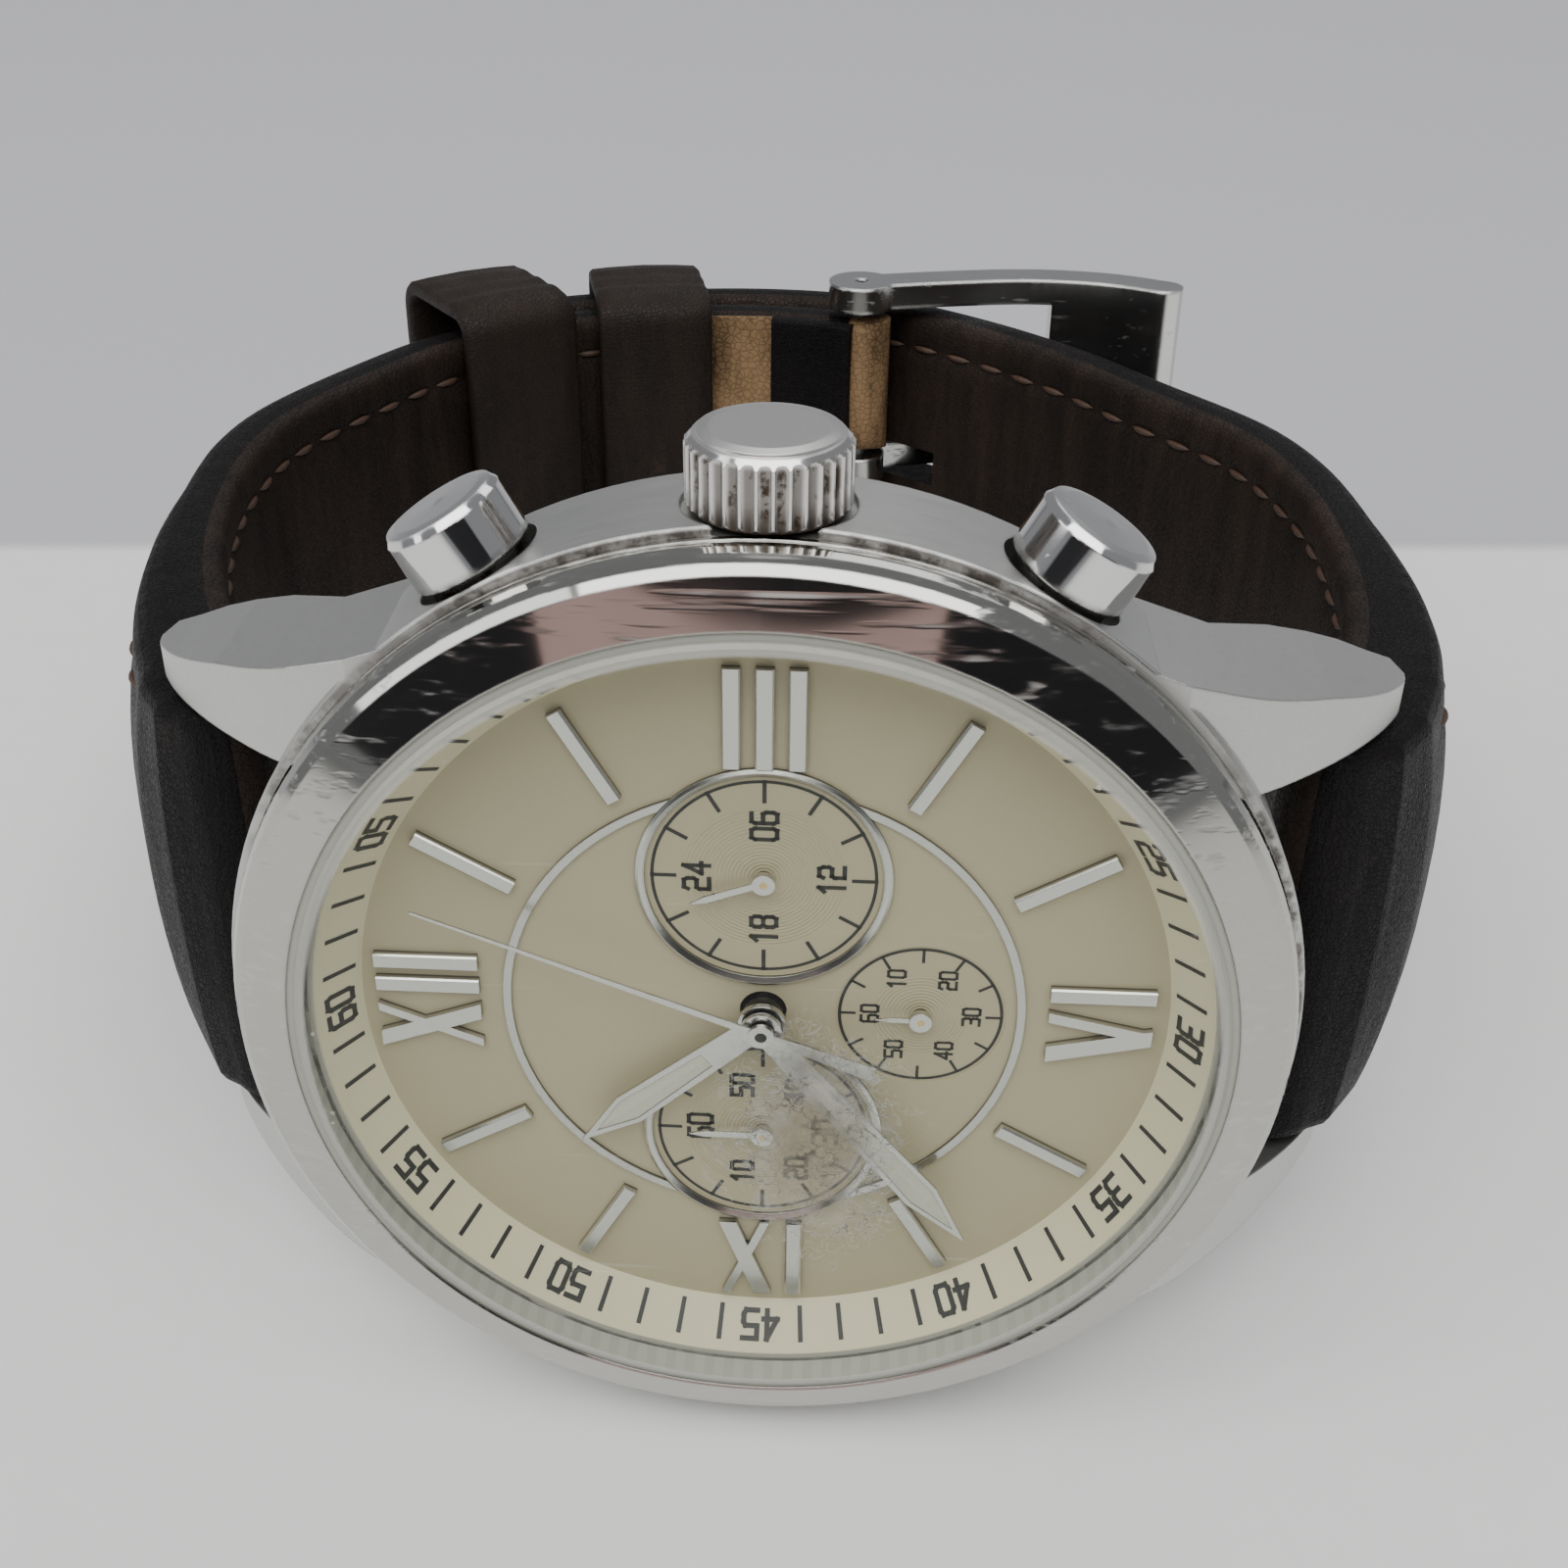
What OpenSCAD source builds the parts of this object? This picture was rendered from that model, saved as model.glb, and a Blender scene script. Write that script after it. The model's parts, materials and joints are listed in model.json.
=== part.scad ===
// Chronograph wristwatch on a buckled leather strap, millimetres.
//
// The watch stands on its nine o'clock side. The head leans back by the small
// angle that lets the wide buckle and the case touch the ground together.
// Head shapes are drawn in the head's own frame: x to three o'clock, y to
// twelve o'clock, z out of the dial, and z = 0 where the bezel meets the case.
// Strap shapes are drawn in the loop frame: x to six o'clock, y from the dial
// into the wrist, z to three o'clock.

/* [Case] */
// Diameter of the case flank
case_d = 44.8; // [43.5:0.1:46]
// Outer diameter of the bezel
bezel_d = 44; // [43:0.1:44.6]
// Height of the case from the bezel seat to the back edge
case_h = 6.6; // [6.4:0.1:7]
// Height of the bezel above its seat
bezel_h = 2.76; // [2.6:0.02:3]
// Diameter of the glass
glass_d = 38.1; // [37.8:0.1:38.3]
// Tip of the lugs, from the middle of the dial
lug_reach = 26.7; // [26.2:0.1:27.4]
// Width between the lugs
lug_gap = 22; // [21.8:0.1:22.4]

/* [Dial] */
// Depth of the dial face below the bezel seat
dial_depth = 0.6; // [0.5:0.05:0.7]
// Inner radius of the sloping minute ring
flange_r = 17.06; // [16.8:0.02:17.4]
// Distance of the side counters from the middle
side_counter_x = 6.7; // [6.5:0.05:6.9]
// Distance of the lower counter from the middle
low_counter_y = 6.65; // [6.5:0.05:6.8]
// Inner end of the hour markers
marker_in = 11.9; // [11.6:0.1:12.2]
// Outer end of the hour markers
marker_out = 16.4; // [16:0.1:16.6]

/* [Time shown] */
// Turn of the minute hand from twelve
minute_deg = 231.6; // [0:0.1:360]
// Turn of the hour hand from twelve
hour_deg = 319.3; // [0:0.1:360]
// Turn of the day hand from twenty-four
day_deg = 339.6; // [0:0.1:360]
// Turn of the long chronograph hand from twelve
chrono_deg = 21.5; // [0:0.1:360]

/* [Crown and pushers] */
// Diameter of the crown
crown_d = 6.34; // [6.2:0.02:6.4]
// Flutes around the crown
crown_flutes = 32; // [24:1:40]
// Diameter of a pusher cap
cap_d = 5; // [4.8:0.1:5.1]
// Angle of each pusher from the crown
pusher_deg = 30; // [28:0.5:32]

/* [Strap] */
// Width of the leather
leather_w = 21.4; // [21:0.1:21.5]
// Thickness of the padded end at the lugs
pad_t = 5; // [4.6:0.1:5.2]
// Thickness of the flat leather
flat_t = 3.4; // [3.2:0.1:3.4]
// Thickness of the free end
tail_t = 3; // [2.8:0.1:3]
// Thickness of the lining
lining_t = 1; // [0.8:0.1:1.2]

/* [Buckle] */
// Width over the buckle
buckle_w = 26; // [25.6:0.1:26.4]
// Thickness of each buckle side
buckle_side_t = 1.7; // [1.5:0.1:1.8]

/* [Hidden] */
$fn = 96;

eps = 0.02;
slip = 0.05;          // running clearance of a shaft in its bore, per side
case_r = case_d / 2;
bezel_r = bezel_d / 2;
bore_r = 18.9;        // inside of the case
flank_h = 5.5;        // straight part of the case flank
glass_r = glass_d / 2;
glass_z = 1.4;        // seat of the glass
glass_t = 1.5;
dial_z = -dial_depth;
dial_t = 0.4;
dial_r = 18.75;
axis_z = -2.75;       // height of crown and pusher axes
back_z = -9;          // face of the case back

// Lug and spring bar
lug_pin = [24.2, -7.9];   // y, z of the spring bar
lug_hole_r = 0.45;
bar_r = 0.75;

// Movement levels
hour_z = 0.25;
minute_z = 0.66;
chrono_z = 1.06;
hand_t = 0.16;
plate_top = -1.6;
plate_t = 0.6;
under_plate = plate_top - plate_t;
bridge_top = -4.4;
bridge_t = 0.6;
movement_r = 15;

// Strap pivots in the loop frame
pin_y = -lug_pin[1];
arm = [-3.2, 43.1];        // from a lug pin to the flex line of its arm
pin_12 = [-lug_pin[0], pin_y];
pin_6 = [lug_pin[0], pin_y];
flex_12 = pin_12 + arm;
flex_6 = pin_6 + arm;
knuckle_r = 1.6;
seat_r = 1.75;
buckle_pin = [3, 63.6];
buckle_bar_r = 0.75;

// Lean of the watch, and the ground under it
case_low = [flank_h, -case_r];
buckle_low = [67.3, -buckle_w / 2];
tilt = atan((buckle_low[1] - case_low[1]) / (buckle_low[0] - case_low[0]));
ground = -case_low[1] * cos(tilt) + case_low[0] * sin(tilt);
middle = [1.344, -33.302];    // brings the box's middle over the origin

module loop_frame() {
  translate([middle[0], middle[1], ground]) rotate([-tilt, 0, 0]) children();
}

module head_frame() {
  loop_frame() rotate([90, 0, 0]) rotate([0, 0, 90]) children();
}

// ---------- curves ----------

// Catmull-Rom point between b and c
function knot(a, b, c, d, t) =
  0.5 * (2 * b + (c - a) * t + (2 * a - 5 * b + 4 * c - d) * t * t
  + (3 * b - a - 3 * c + d) * t * t * t);

// Smooth line through the given points
function spline(p, steps) = let (n = len(p)) [
  for (i = [0 : n - 2], k = [0 : steps - 1])
    knot(p[max(i - 1, 0)], p[i], p[i + 1], p[min(i + 2, n - 1)], k / steps),
  p[n - 1]
];

function unit(v) = v / norm(v);
function left_of(v) = [-v[1], v[0]];

// Unit normal of a line at point i, to the left of its direction
function normal_at(p, i) =
  left_of(unit(p[min(i + 1, len(p) - 1)] - p[max(i - 1, 0)]));

// Thickness that runs from a at the line's start to b after the share s
function taper(a, b, i, n, s) = a + (b - a) * min(1, i / (n * s));

// Closed outline between two offsets of a line, each given per point
function band(p, low, high) = concat(
  [for (i = [0 : len(p) - 1]) p[i] + normal_at(p, i) * low[i]],
  [for (i = [len(p) - 1 : -1 : 0]) p[i] + normal_at(p, i) * high[i]]
);

// Length of a line up to point i
function run(p, i) = i == 0 ? 0 : run(p, i - 1) + norm(p[i] - p[i - 1]);

module across(w) { translate([0, 0, -w / 2]) linear_extrude(w) children(); }

module pin_hole(at, r) {
  translate([at[0], at[1], -40]) cylinder(r = r, h = 80);
}

// Bar with a small chamfer along its upper edges, along +x, standing on z = 0
module chamfered_bar(l, w, h, c) {
  rotate([90, 0, 90]) linear_extrude(l)
    polygon([[-w / 2, 0], [w / 2, 0], [w / 2, h - c], [w / 2 - c, h],
      [c - w / 2, h], [-w / 2, h - c]]);
}

module radial(deg) { rotate([0, 0, deg]) children(); }

// Turned part along +x from its radius profile of [x, r] pairs
module turned_x(profile) {
  rotate([0, 90, 0]) rotate_extrude()
    polygon(concat([[0, profile[0][0]]],
      [for (p = profile) [p[1], p[0]]],
      [[0, profile[len(profile) - 1][0]]]));
}

module ring(r_in, r_out, z0, h) {
  translate([0, 0, z0]) difference() {
    cylinder(r = r_out, h = h);
    translate([0, 0, -eps]) cylinder(r = r_in, h = h + 2 * eps);
  }
}

module disc(r, z0, h) { translate([0, 0, z0]) cylinder(r = r, h = h); }

// ---------- case ----------

lug_top = spline([[16, 0], [19.2, -1.2], [22.3, -3.5], [24.8, -6],
  [lug_reach - 0.35, -8.2], [lug_reach, -9.4]], 5);
lug_under = [[lug_reach - 0.4, -10.5], [23.8, -10.1], [20.4, -8.6],
  [17.6, -case_h], [12, -case_h], [12, 0]];
lug_plan = [[lug_gap / 2, 12], [17.6, 12], [16.95, 14.4], [15.6, 18.4],
  [14.25, 22.3], [13, 25.2], [12.3, lug_reach + 0.3],
  [lug_gap / 2, lug_reach + 0.3]];

module lug() {
  intersection() {
    translate([lug_gap / 2, 0, 0]) rotate([90, 0, 90])
      linear_extrude(8) polygon(concat(lug_top, lug_under));
    translate([0, 0, -12]) linear_extrude(13) polygon(lug_plan);
  }
}

module each_lug() {
  for (sx = [0, 1], sy = [0, 1]) mirror([sx, 0, 0]) mirror([0, sy, 0]) children();
}

module pusher_places() { for (s = [-1, 1]) radial(s * pusher_deg) children(); }

module mid_case() head_frame() color("gainsboro") difference() {
  union() {
    rotate_extrude() polygon([[0, 0], [case_r - 0.1, 0], [case_r, -0.1],
      [case_r, -flank_h], [case_r - 1.6, -case_h], [0, -case_h]]);
    each_lug() lug();
    ring(20.2, 20.8, 0, 0.7);
  }
  disc(bore_r, -case_h - 1, case_h + 2);
  ring(19.15, 19.95, -case_h - eps, 0.3);
  each_lug() translate([lug_gap / 2 - eps, lug_pin[0], lug_pin[1]])
    rotate([0, 90, 0]) cylinder(r = lug_hole_r, h = 0.9);
  translate([0, 0, axis_z]) {
    turned_x([[18, 1.3], [21.9, 1.3], [21.9, crown_d / 2 + 0.18],
      [26, crown_d / 2 + 0.18]]);
    pusher_places() turned_x([[18, 1.25], [19.9, 1.25], [19.9, 2.2],
      [21.1, 2.2], [21.1, cap_d / 2 + 0.15], [26, cap_d / 2 + 0.15]]);
  }
}

module bezel() head_frame() color("silver") rotate_extrude() polygon([
  [18.85, 0], [20.1, 0], [20.1, 0.8], [20.9, 0.8], [20.9, 0], [bezel_r, 0],
  [bezel_r, 0.28], [bezel_r - 0.14, 0.36], [bezel_r - 0.14, 0.46],
  [bezel_r, 0.56], [bezel_r, 0.9], [bezel_r - 0.08, 1.3],
  [bezel_r - 0.28, 1.72], [bezel_r - 0.62, 2.04], [19.5, bezel_h],
  [19.38, bezel_h - 0.08], [19.38, glass_z], [18.85, glass_z]]);

module glass() head_frame() color([0.9, 0.95, 1, 0.3]) rotate_extrude()
  polygon([[0, glass_z], [glass_r, glass_z],
    [glass_r, glass_z + glass_t - 0.15],
    [glass_r - 0.15, glass_z + glass_t], [0, glass_z + glass_t]]);

module glass_gasket() head_frame() color("dimgray")
  ring(glass_r, 19.38, glass_z, 1.2);

module minute_flange() head_frame() color("wheat") rotate_extrude()
  polygon([[flange_r, dial_z], [18.8, dial_z], [18.8, glass_z - slip],
    [18.62, glass_z - slip]]);

module case_back() head_frame() color("lightgray") difference() {
  rotate_extrude() polygon([[0, -7.6 + 0.6], [18, -7.6 + 0.6], [18, -5.7],
    [18.85, -5.7], [18.85, -case_h], [20.4, -case_h], [20.4, -7.4],
    [20.2, -7.6], [17.2, -7.6], [16.4, back_z + 0.2], [16.2, back_z],
    [0, back_z]]);
  for (a = [0 : 60 : 300]) radial(a) translate([15.2, 0, back_z - eps])
    cylinder(r = 0.8, h = 0.5 + eps);
}

module back_gasket() head_frame() color("black")
  ring(19.2, 19.9, -case_h, 0.28);

// ---------- dial ----------

counters = [[side_counter_x, 0, 4.85], [-side_counter_x, 0, 4.85],
  [0, -low_counter_y, 3.6]];

module dial() head_frame() color("beige") difference() {
  disc(dial_r, dial_z - dial_t, dial_t);
  disc(1, -3, 4);
  for (c = counters) translate([c[0], c[1], 0]) {
    disc(0.35, -3, 4);
    disc(c[2], dial_z - 0.06, 1);
  }
}

marker_w = 0.68;
marker_h = 0.34;

module stroke(x0, x1, w) {
  // Slanted bar between the two ends of the numerals' height
  linear_extrude(marker_h) polygon([[x0 - w / 2, marker_in + 0.1],
    [x0 + w / 2, marker_in + 0.1], [x1 + w / 2, marker_out],
    [x1 - w / 2, marker_out]]);
}

module numeral_one(x) {
  translate([x, marker_in + 0.1, 0]) rotate([0, 0, 90])
    chamfered_bar(marker_out - marker_in - 0.1, 0.74, marker_h, 0.08);
}

module numeral_ten(x) {
  stroke(x + 0.8, x - 0.8, 0.8);
  stroke(x - 0.88, x + 0.88, 0.4);
}

module hour_markers() head_frame() color("whitesmoke")
  translate([0, 0, dial_z]) {
    for (h = [1, 2, 4, 5, 7, 8, 10, 11]) radial(90 - 30 * h)
      translate([marker_in, 0, 0])
        chamfered_bar(marker_out - marker_in, marker_w, marker_h, 0.08);
    numeral_ten(-1.2);
    numeral_one(0.85);
    numeral_one(2.05);
    radial(-90) for (x = [-1.3, 0, 1.3]) numeral_one(x);
    radial(90) {
      numeral_one(-1.45);
      numeral_ten(0.75);
    }
    radial(180) {
      numeral_one(-1.5);
      stroke(1.55, 0.55, 0.8);
      stroke(-0.4, 0.55, 0.5);
    }
  }

module dial_ring() head_frame() color("silver") difference() {
  ring(10.7, 11.05, dial_z, 0.16);
  for (s = [-1, 1]) translate([s * side_counter_x, 0, -2])
    cylinder(r = 5.27, h = 3);
}

module counter_rims() head_frame() color("silver")
  for (s = [-1, 1]) translate([s * side_counter_x, 0, dial_z])
    rotate_extrude() polygon([[4.87, 0], [5.25, 0], [5.25, 0.16],
      [5.1, 0.26], [4.87, 0.12]]);

// ---------- movement ----------

module toothed_wheel(r, z0, t, teeth) {
  tip = 0.12;
  translate([0, 0, z0]) linear_extrude(t) union() {
    circle(r = r - tip);
    for (i = [0 : teeth - 1]) rotate(i * 360 / teeth)
      translate([r - 1.5 * tip, -PI * r / teeth / 2])
        square([1.5 * tip, PI * r / teeth]);
  }
}

module arbor_places() {
  for (c = counters) translate([c[0], c[1], 0]) children();
}

stem_r = 0.45;
battery_at = [4.4, 9];
battery_r = 4.75;

module movement_ring() head_frame() color("ivory") difference() {
  ring(movement_r, bore_r - 0.1, -5.4, 5.4 + dial_z - dial_t);
  translate([0, 0, axis_z]) {
    turned_x([[14, 1.5], [20, 1.5]]);
    pusher_places() turned_x([[14, 1.5], [20, 1.5]]);
  }
}

module main_plate() head_frame() color("goldenrod") difference() {
  disc(movement_r, under_plate, plate_t);
  disc(0.85 + slip, -4, 4);
  arbor_places() disc(0.3 + slip, -4, 4);
  translate([8.4, -1.1, -4]) cube([4.2, 2.2, 4]);
  for (a = [50, 140, 220, 320]) radial(a) translate([13.4, 0, -4])
    cylinder(r = 0.5, h = 4);
}

module train_bridge() head_frame() color("silver") difference() {
  union() {
    disc(9.4, bridge_top - bridge_t, bridge_t);
    for (a = [140, 220, 320]) radial(a) translate([13.4, 0, bridge_top - bridge_t])
      cylinder(r = 1, h = under_plate - bridge_top + bridge_t);
    for (a = [140, 220, 320]) radial(a) translate([8, -1, bridge_top - bridge_t])
      cube([5.4, 2, bridge_t]);
  }
  disc(0.25 + slip, -8, 8);
  arbor_places() disc(0.15 + slip, -8, 8);
  translate([battery_at[0], battery_at[1], -8]) cylinder(r = battery_r + 1.3, h = 8);
}

module battery() head_frame() color("silver") translate(concat(battery_at, 0)) {
  disc(battery_r, -5.5, 2.7);
  disc(battery_r - 0.8, -2.8, under_plate + 2.8);
}

module battery_clamp() head_frame() color("lightgray") difference() {
  union() {
    translate([battery_at[0] - 5.3, battery_at[1] - 1.2, -5.65]) cube([8.2, 2.4, 0.15]);
    translate([battery_at[0] - 5.6, battery_at[1] - 1.2, -5.65])
      cube([0.5, 2.4, 5.65 + under_plate]);
  }
  translate([battery_at[0], battery_at[1], -8]) cylinder(r = 0.6, h = 8);
}

module motor_coil() head_frame() color("peru") translate([-5, -11.6, under_plate - 1.05])
  turned_x([[0, 1.05], [0.5, 1.05], [0.5, 0.85], [9.5, 0.85], [9.5, 1.05],
    [10, 1.05]]);

module quartz_can() head_frame() color("silver") translate([-10.4, -3, under_plate - 0.95])
  rotate([-90, 0, 0]) cylinder(r = 0.95, h = 6);

module circuit_board() head_frame() color("darkgreen") translate([0, 0, -5.3])
  linear_extrude(0.3) difference() {
    circle(r = 14.6);
    translate(battery_at) circle(r = battery_r + 0.4);
    translate([-16, 7.6]) square([32, 12]);
    circle(r = 1.2);
    for (c = counters) translate([c[0], c[1]]) circle(r = 0.6);
  }

// ---------- hands ----------

// Lance hand along +x, seen from above
function lance(l, root_w, wide_at, wide_w) = [[0.4, -root_w / 2],
  [wide_at, -wide_w / 2], [l, 0], [wide_at, wide_w / 2], [0.4, root_w / 2]];

module lance_hand(l, root_w, wide_at, wide_w, hub_r, bore, rim) {
  difference() {
    union() {
      linear_extrude(hand_t) polygon(lance(l, root_w, wide_at, wide_w));
      cylinder(r = hub_r, h = hand_t + 0.1);
    }
    translate([0, 0, hand_t - 0.05]) linear_extrude(0.1)
      polygon([[3.1, -root_w / 2 + rim], [wide_at, -wide_w / 2 + rim],
        [l - 0.9, 0], [wide_at, wide_w / 2 - rim], [3.1, root_w / 2 - rim]]);
    translate([0, 0, -1]) cylinder(r = bore, h = 3);
  }
}

module pointing(deg, z0) {
  head_frame() translate([0, 0, z0]) rotate([0, 0, 90 - deg]) children();
}

module hour_hand() pointing(hour_deg, hour_z) color("whitesmoke")
  lance_hand(10.4, 1.2, 7.6, 1.62, 1.02, 0.85, 0.22);

module minute_hand() pointing(minute_deg, minute_z) color("whitesmoke")
  lance_hand(14.7, 1.05, 11.4, 1.6, 0.86, 0.55, 0.22);

module chrono_hand() pointing(chrono_deg, chrono_z) color("white") difference() {
  union() {
    linear_extrude(0.1) polygon([[-5.1, -0.36], [-0.4, -0.17], [15.3, -0.05],
      [15.3, 0.05], [-0.4, 0.17], [-5.1, 0.36]]);
    cylinder(r = 0.56, h = 0.22);
  }
  translate([0, 0, -1]) cylinder(r = 0.25, h = 3);
}

module hour_wheel() head_frame() color("dimgray") difference() {
  union() {
    toothed_wheel(3.9, -1.35, 0.2, 40);
    disc(0.85, -2.2, hour_z + hand_t + 2.2);
  }
  disc(0.55 + slip, -4, 8);
}

module cannon_pinion() head_frame() color("dimgray") difference() {
  union() {
    disc(0.55, -3, minute_z + hand_t + 3.05);
    disc(1.1, -3, 0.5);
  }
  disc(0.25 + slip, -4, 8);
}

module chrono_arbor() head_frame() color("gray") {
  disc(0.25, -4.9, chrono_z + 0.22 + 4.9);
  toothed_wheel(2.8, -3.8, 0.2, 30);
}

counter_hand_z = -0.3;

module counter_hand(l, w) {
  difference() {
    union() {
      linear_extrude(0.1) polygon([[-0.2, -w / 2], [l - 0.7, -w / 2], [l, 0],
        [l - 0.7, w / 2], [-0.2, w / 2]]);
      translate([0, 0, -0.1]) cylinder(r = 0.48, h = 0.32);
    }
    translate([0, 0, -1]) cylinder(r = 0.15, h = 3);
  }
}

// Arbor of a counter hand, with its wheel
module counter_wheel(r, teeth) {
  disc(0.15, -4.9, counter_hand_z + 0.22 + 4.9);
  disc(0.3, -3.6, 3.6 + dial_z + 0.12);
  toothed_wheel(r, -3.5, 0.2, teeth);
}

module at_day() { head_frame() translate([side_counter_x, 0, 0]) children(); }
module at_minutes() { head_frame() translate([-side_counter_x, 0, 0]) children(); }
module at_seconds() { head_frame() translate([0, -low_counter_y, 0]) children(); }

module day_hand() at_day() translate([0, 0, counter_hand_z])
  rotate([0, 0, 90 - day_deg]) color("whitesmoke") counter_hand(3.25, 0.3);
module day_wheel() at_day() color("darkgoldenrod") {
  disc(0.15, -4.9, counter_hand_z + 0.22 + 4.9);
  disc(0.3, -3.6, 3.6 + dial_z + 0.12);
  toothed_wheel(1.5, -4.1, 0.2, 20);
}
module small_seconds_hand() at_seconds() translate([0, 0, counter_hand_z])
  rotate([0, 0, 90]) color("whitesmoke") counter_hand(1.95, 0.22);
module small_seconds_wheel() at_seconds() color("darkgoldenrod")
  counter_wheel(2.4, 26);
module chrono_minutes_hand() at_minutes() translate([0, 0, counter_hand_z])
  rotate([0, 0, 90]) color("whitesmoke") counter_hand(3.25, 0.3);
module chrono_minutes_wheel() at_minutes() color("darkgoldenrod")
  counter_wheel(2.4, 26);

// ---------- crown ----------

module on_axis() { head_frame() translate([0, 0, axis_z]) children(); }

crown_r = crown_d / 2;
crown_base = 22.1;
crown_top = 25.15;

module crown() on_axis() color("lightgray") difference() {
  turned_x([[crown_base, crown_r - 0.25], [crown_base + 0.25, crown_r],
    [crown_top - 0.55, crown_r], [crown_top - 0.2, crown_r - 0.32],
    [crown_top - 0.2, crown_r - 0.42], [crown_top - 0.08, crown_r - 0.46],
    [crown_top, crown_r - 0.9]]);
  turned_x([[crown_base - 1, 1.75], [23.9, 1.75], [23.9, stem_r], [24.4, stem_r]]);
  for (i = [0 : crown_flutes - 1]) rotate([i * 360 / crown_flutes, 0, 0])
    translate([crown_base - 1, 0, crown_r + 0.12]) rotate([0, 90, 0])
      cylinder(r = 0.29, h = crown_top - 0.42 - crown_base + 1, $fn = 16);
}

module crown_gasket() on_axis() color("black") difference() {
  turned_x([[23, 1.75], [23.5, 1.75]]);
  turned_x([[22, 1.3 + slip], [24, 1.3 + slip]]);
}

module crown_tube() on_axis() color("silver") difference() {
  turned_x([[bore_r, 1.3], [23.7, 1.3]]);
  turned_x([[18, stem_r + slip], [24, stem_r + slip]]);
}

module crown_stem() on_axis() color("gray") difference() {
  turned_x([[8.7, stem_r], [24.4, stem_r]]);
  difference() {
    turned_x([[12.2, 0.6], [12.8, 0.6]]);
    turned_x([[12, 0.3], [13, 0.3]]);
  }
}

module sliding_pinion() on_axis() color("goldenrod") difference() {
  turned_x([[9.2, 0.8], [10.8, 0.8]]);
  turned_x([[9, stem_r], [11, stem_r]]);
  for (i = [0 : 9]) rotate([i * 36, 0, 0]) translate([9.1, 0, 0.86])
    rotate([0, 90, 0]) cylinder(r = 0.15, h = 2, $fn = 16);
}

module setting_lever() on_axis() color("silver") difference() {
  union() {
    translate([12.35, -1, -1.1]) cube([0.3, 2, 1.55]);
    translate([11, -1, -1.1]) cube([1.5, 3.6, 0.3]);
  }
  turned_x([[12, 0.3 + slip], [13, 0.3 + slip]]);
  translate([12, -0.3 - slip, 0]) cube([1, 0.6 + 2 * slip, 2]);
}

// ---------- pushers ----------

module pusher_axis(s) { on_axis() radial(-s * pusher_deg) children(); }

module pusher_body() color("silver") difference() {
  turned_x([[15.3, 0.45], [17.8, 0.45], [17.8, 0.8], [21.2, 0.8], [21.2, 2.1],
    [22.5, 2.1], [22.5, cap_d / 2 - 0.1], [22.65, cap_d / 2],
    [24.7, cap_d / 2], [25.02, cap_d / 2 - 0.22], [25.1, cap_d / 2 - 0.6],
    [25.14, 0]]);
  difference() {
    turned_x([[20, 1.75], [23.6, 1.75]]);
    turned_x([[19, 0.8], [24, 0.8]]);
  }
  difference() {
    turned_x([[18.6, 1], [18.85, 1]]);
    turned_x([[18, 0.6], [19, 0.6]]);
  }
}

module pusher_start() pusher_axis(-1) pusher_body();
module pusher_reset() pusher_axis(1) pusher_body();

module pusher_tubes() for (s = [-1, 1]) pusher_axis(s) color("gray") difference() {
  turned_x([[bore_r, 1.25], [21.1, 1.25]]);
  turned_x([[18, 0.8 + slip], [22, 0.8 + slip]]);
}

module clip() color("gray") difference() {
  turned_x([[18.62, 1.15], [18.83, 1.15]]);
  turned_x([[18, 0.6], [19, 0.6]]);
  translate([18, -0.5, 0]) cube([1, 1, 2]);
}

module clip_start() pusher_axis(-1) clip();
module clip_reset() pusher_axis(1) clip();

// Coil spring along +x as one swept skin
module coil(x0, l, r, wire, turns) {
  sides = 6;
  per_turn = 14;
  n = turns * per_turn;
  points = [for (i = [0 : n], k = [0 : sides - 1])
    let (a = i * 360 / per_turn, b = k * 360 / sides,
      rr = r + wire * cos(b))
    [x0 + wire + (l - 2 * wire) * i / n + wire * sin(b), rr * cos(a), rr * sin(a)]];
  skin = [for (i = [0 : n - 1], k = [0 : sides - 1])
    let (k2 = (k + 1) % sides)
    [i * sides + k, i * sides + k2, (i + 1) * sides + k2, (i + 1) * sides + k]];
  caps = [[for (k = [sides - 1 : -1 : 0]) k],
    [for (k = [0 : sides - 1]) n * sides + k]];
  polyhedron(points = points, faces = concat(skin, caps), convexity = 10);
}

module pusher_spring() color("gray") coil(19.95, 3.6, 1.5, 0.12, 5);
module spring_start() pusher_axis(-1) pusher_spring();
module spring_reset() pusher_axis(1) pusher_spring();

// ---------- spring bars ----------

module spring_bar(at, r, tip_r, half, tip) {
  translate([at[0], at[1], -half]) {
    cylinder(r = r, h = 2 * half);
    translate([0, 0, -tip]) cylinder(r = tip_r, h = 2 * (half + tip));
  }
}

module lug_spring_bars() loop_frame() color("gray")
  for (p = [pin_12, pin_6]) spring_bar(p, bar_r, lug_hole_r - 0.03, 10.9, 0.8);

module buckle_bar() loop_frame() color("gray")
  spring_bar(buckle_pin, buckle_bar_r, 0.42, 11.1, 0.9);

// ---------- strap ----------

line_12_arm = spline([pin_12, [-26.4, 12.4], [-28.9, 18], [-31, 25.5],
  [-32, 34], [-31.3, 42], flex_12], 5);
line_12_end = spline([flex_12, [-23.6, 57], [-17.5, 61.6], [-10.5, 64],
  [-3.5, 64.6], buckle_pin], 5);
line_6_arm = spline([pin_6, [26.6, 12.4], [28.4, 18], [29.2, 25],
  [28.9, 34], [26.6, 43], flex_6], 5);
line_6_tail = spline([flex_6, [16.6, 57], [11, 62.6], [4.6, 67], [-2.5, 68.5],
  [-10.5, 67.8], [-18.8, 65], [-24.6, 60.6]], 5);

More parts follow.
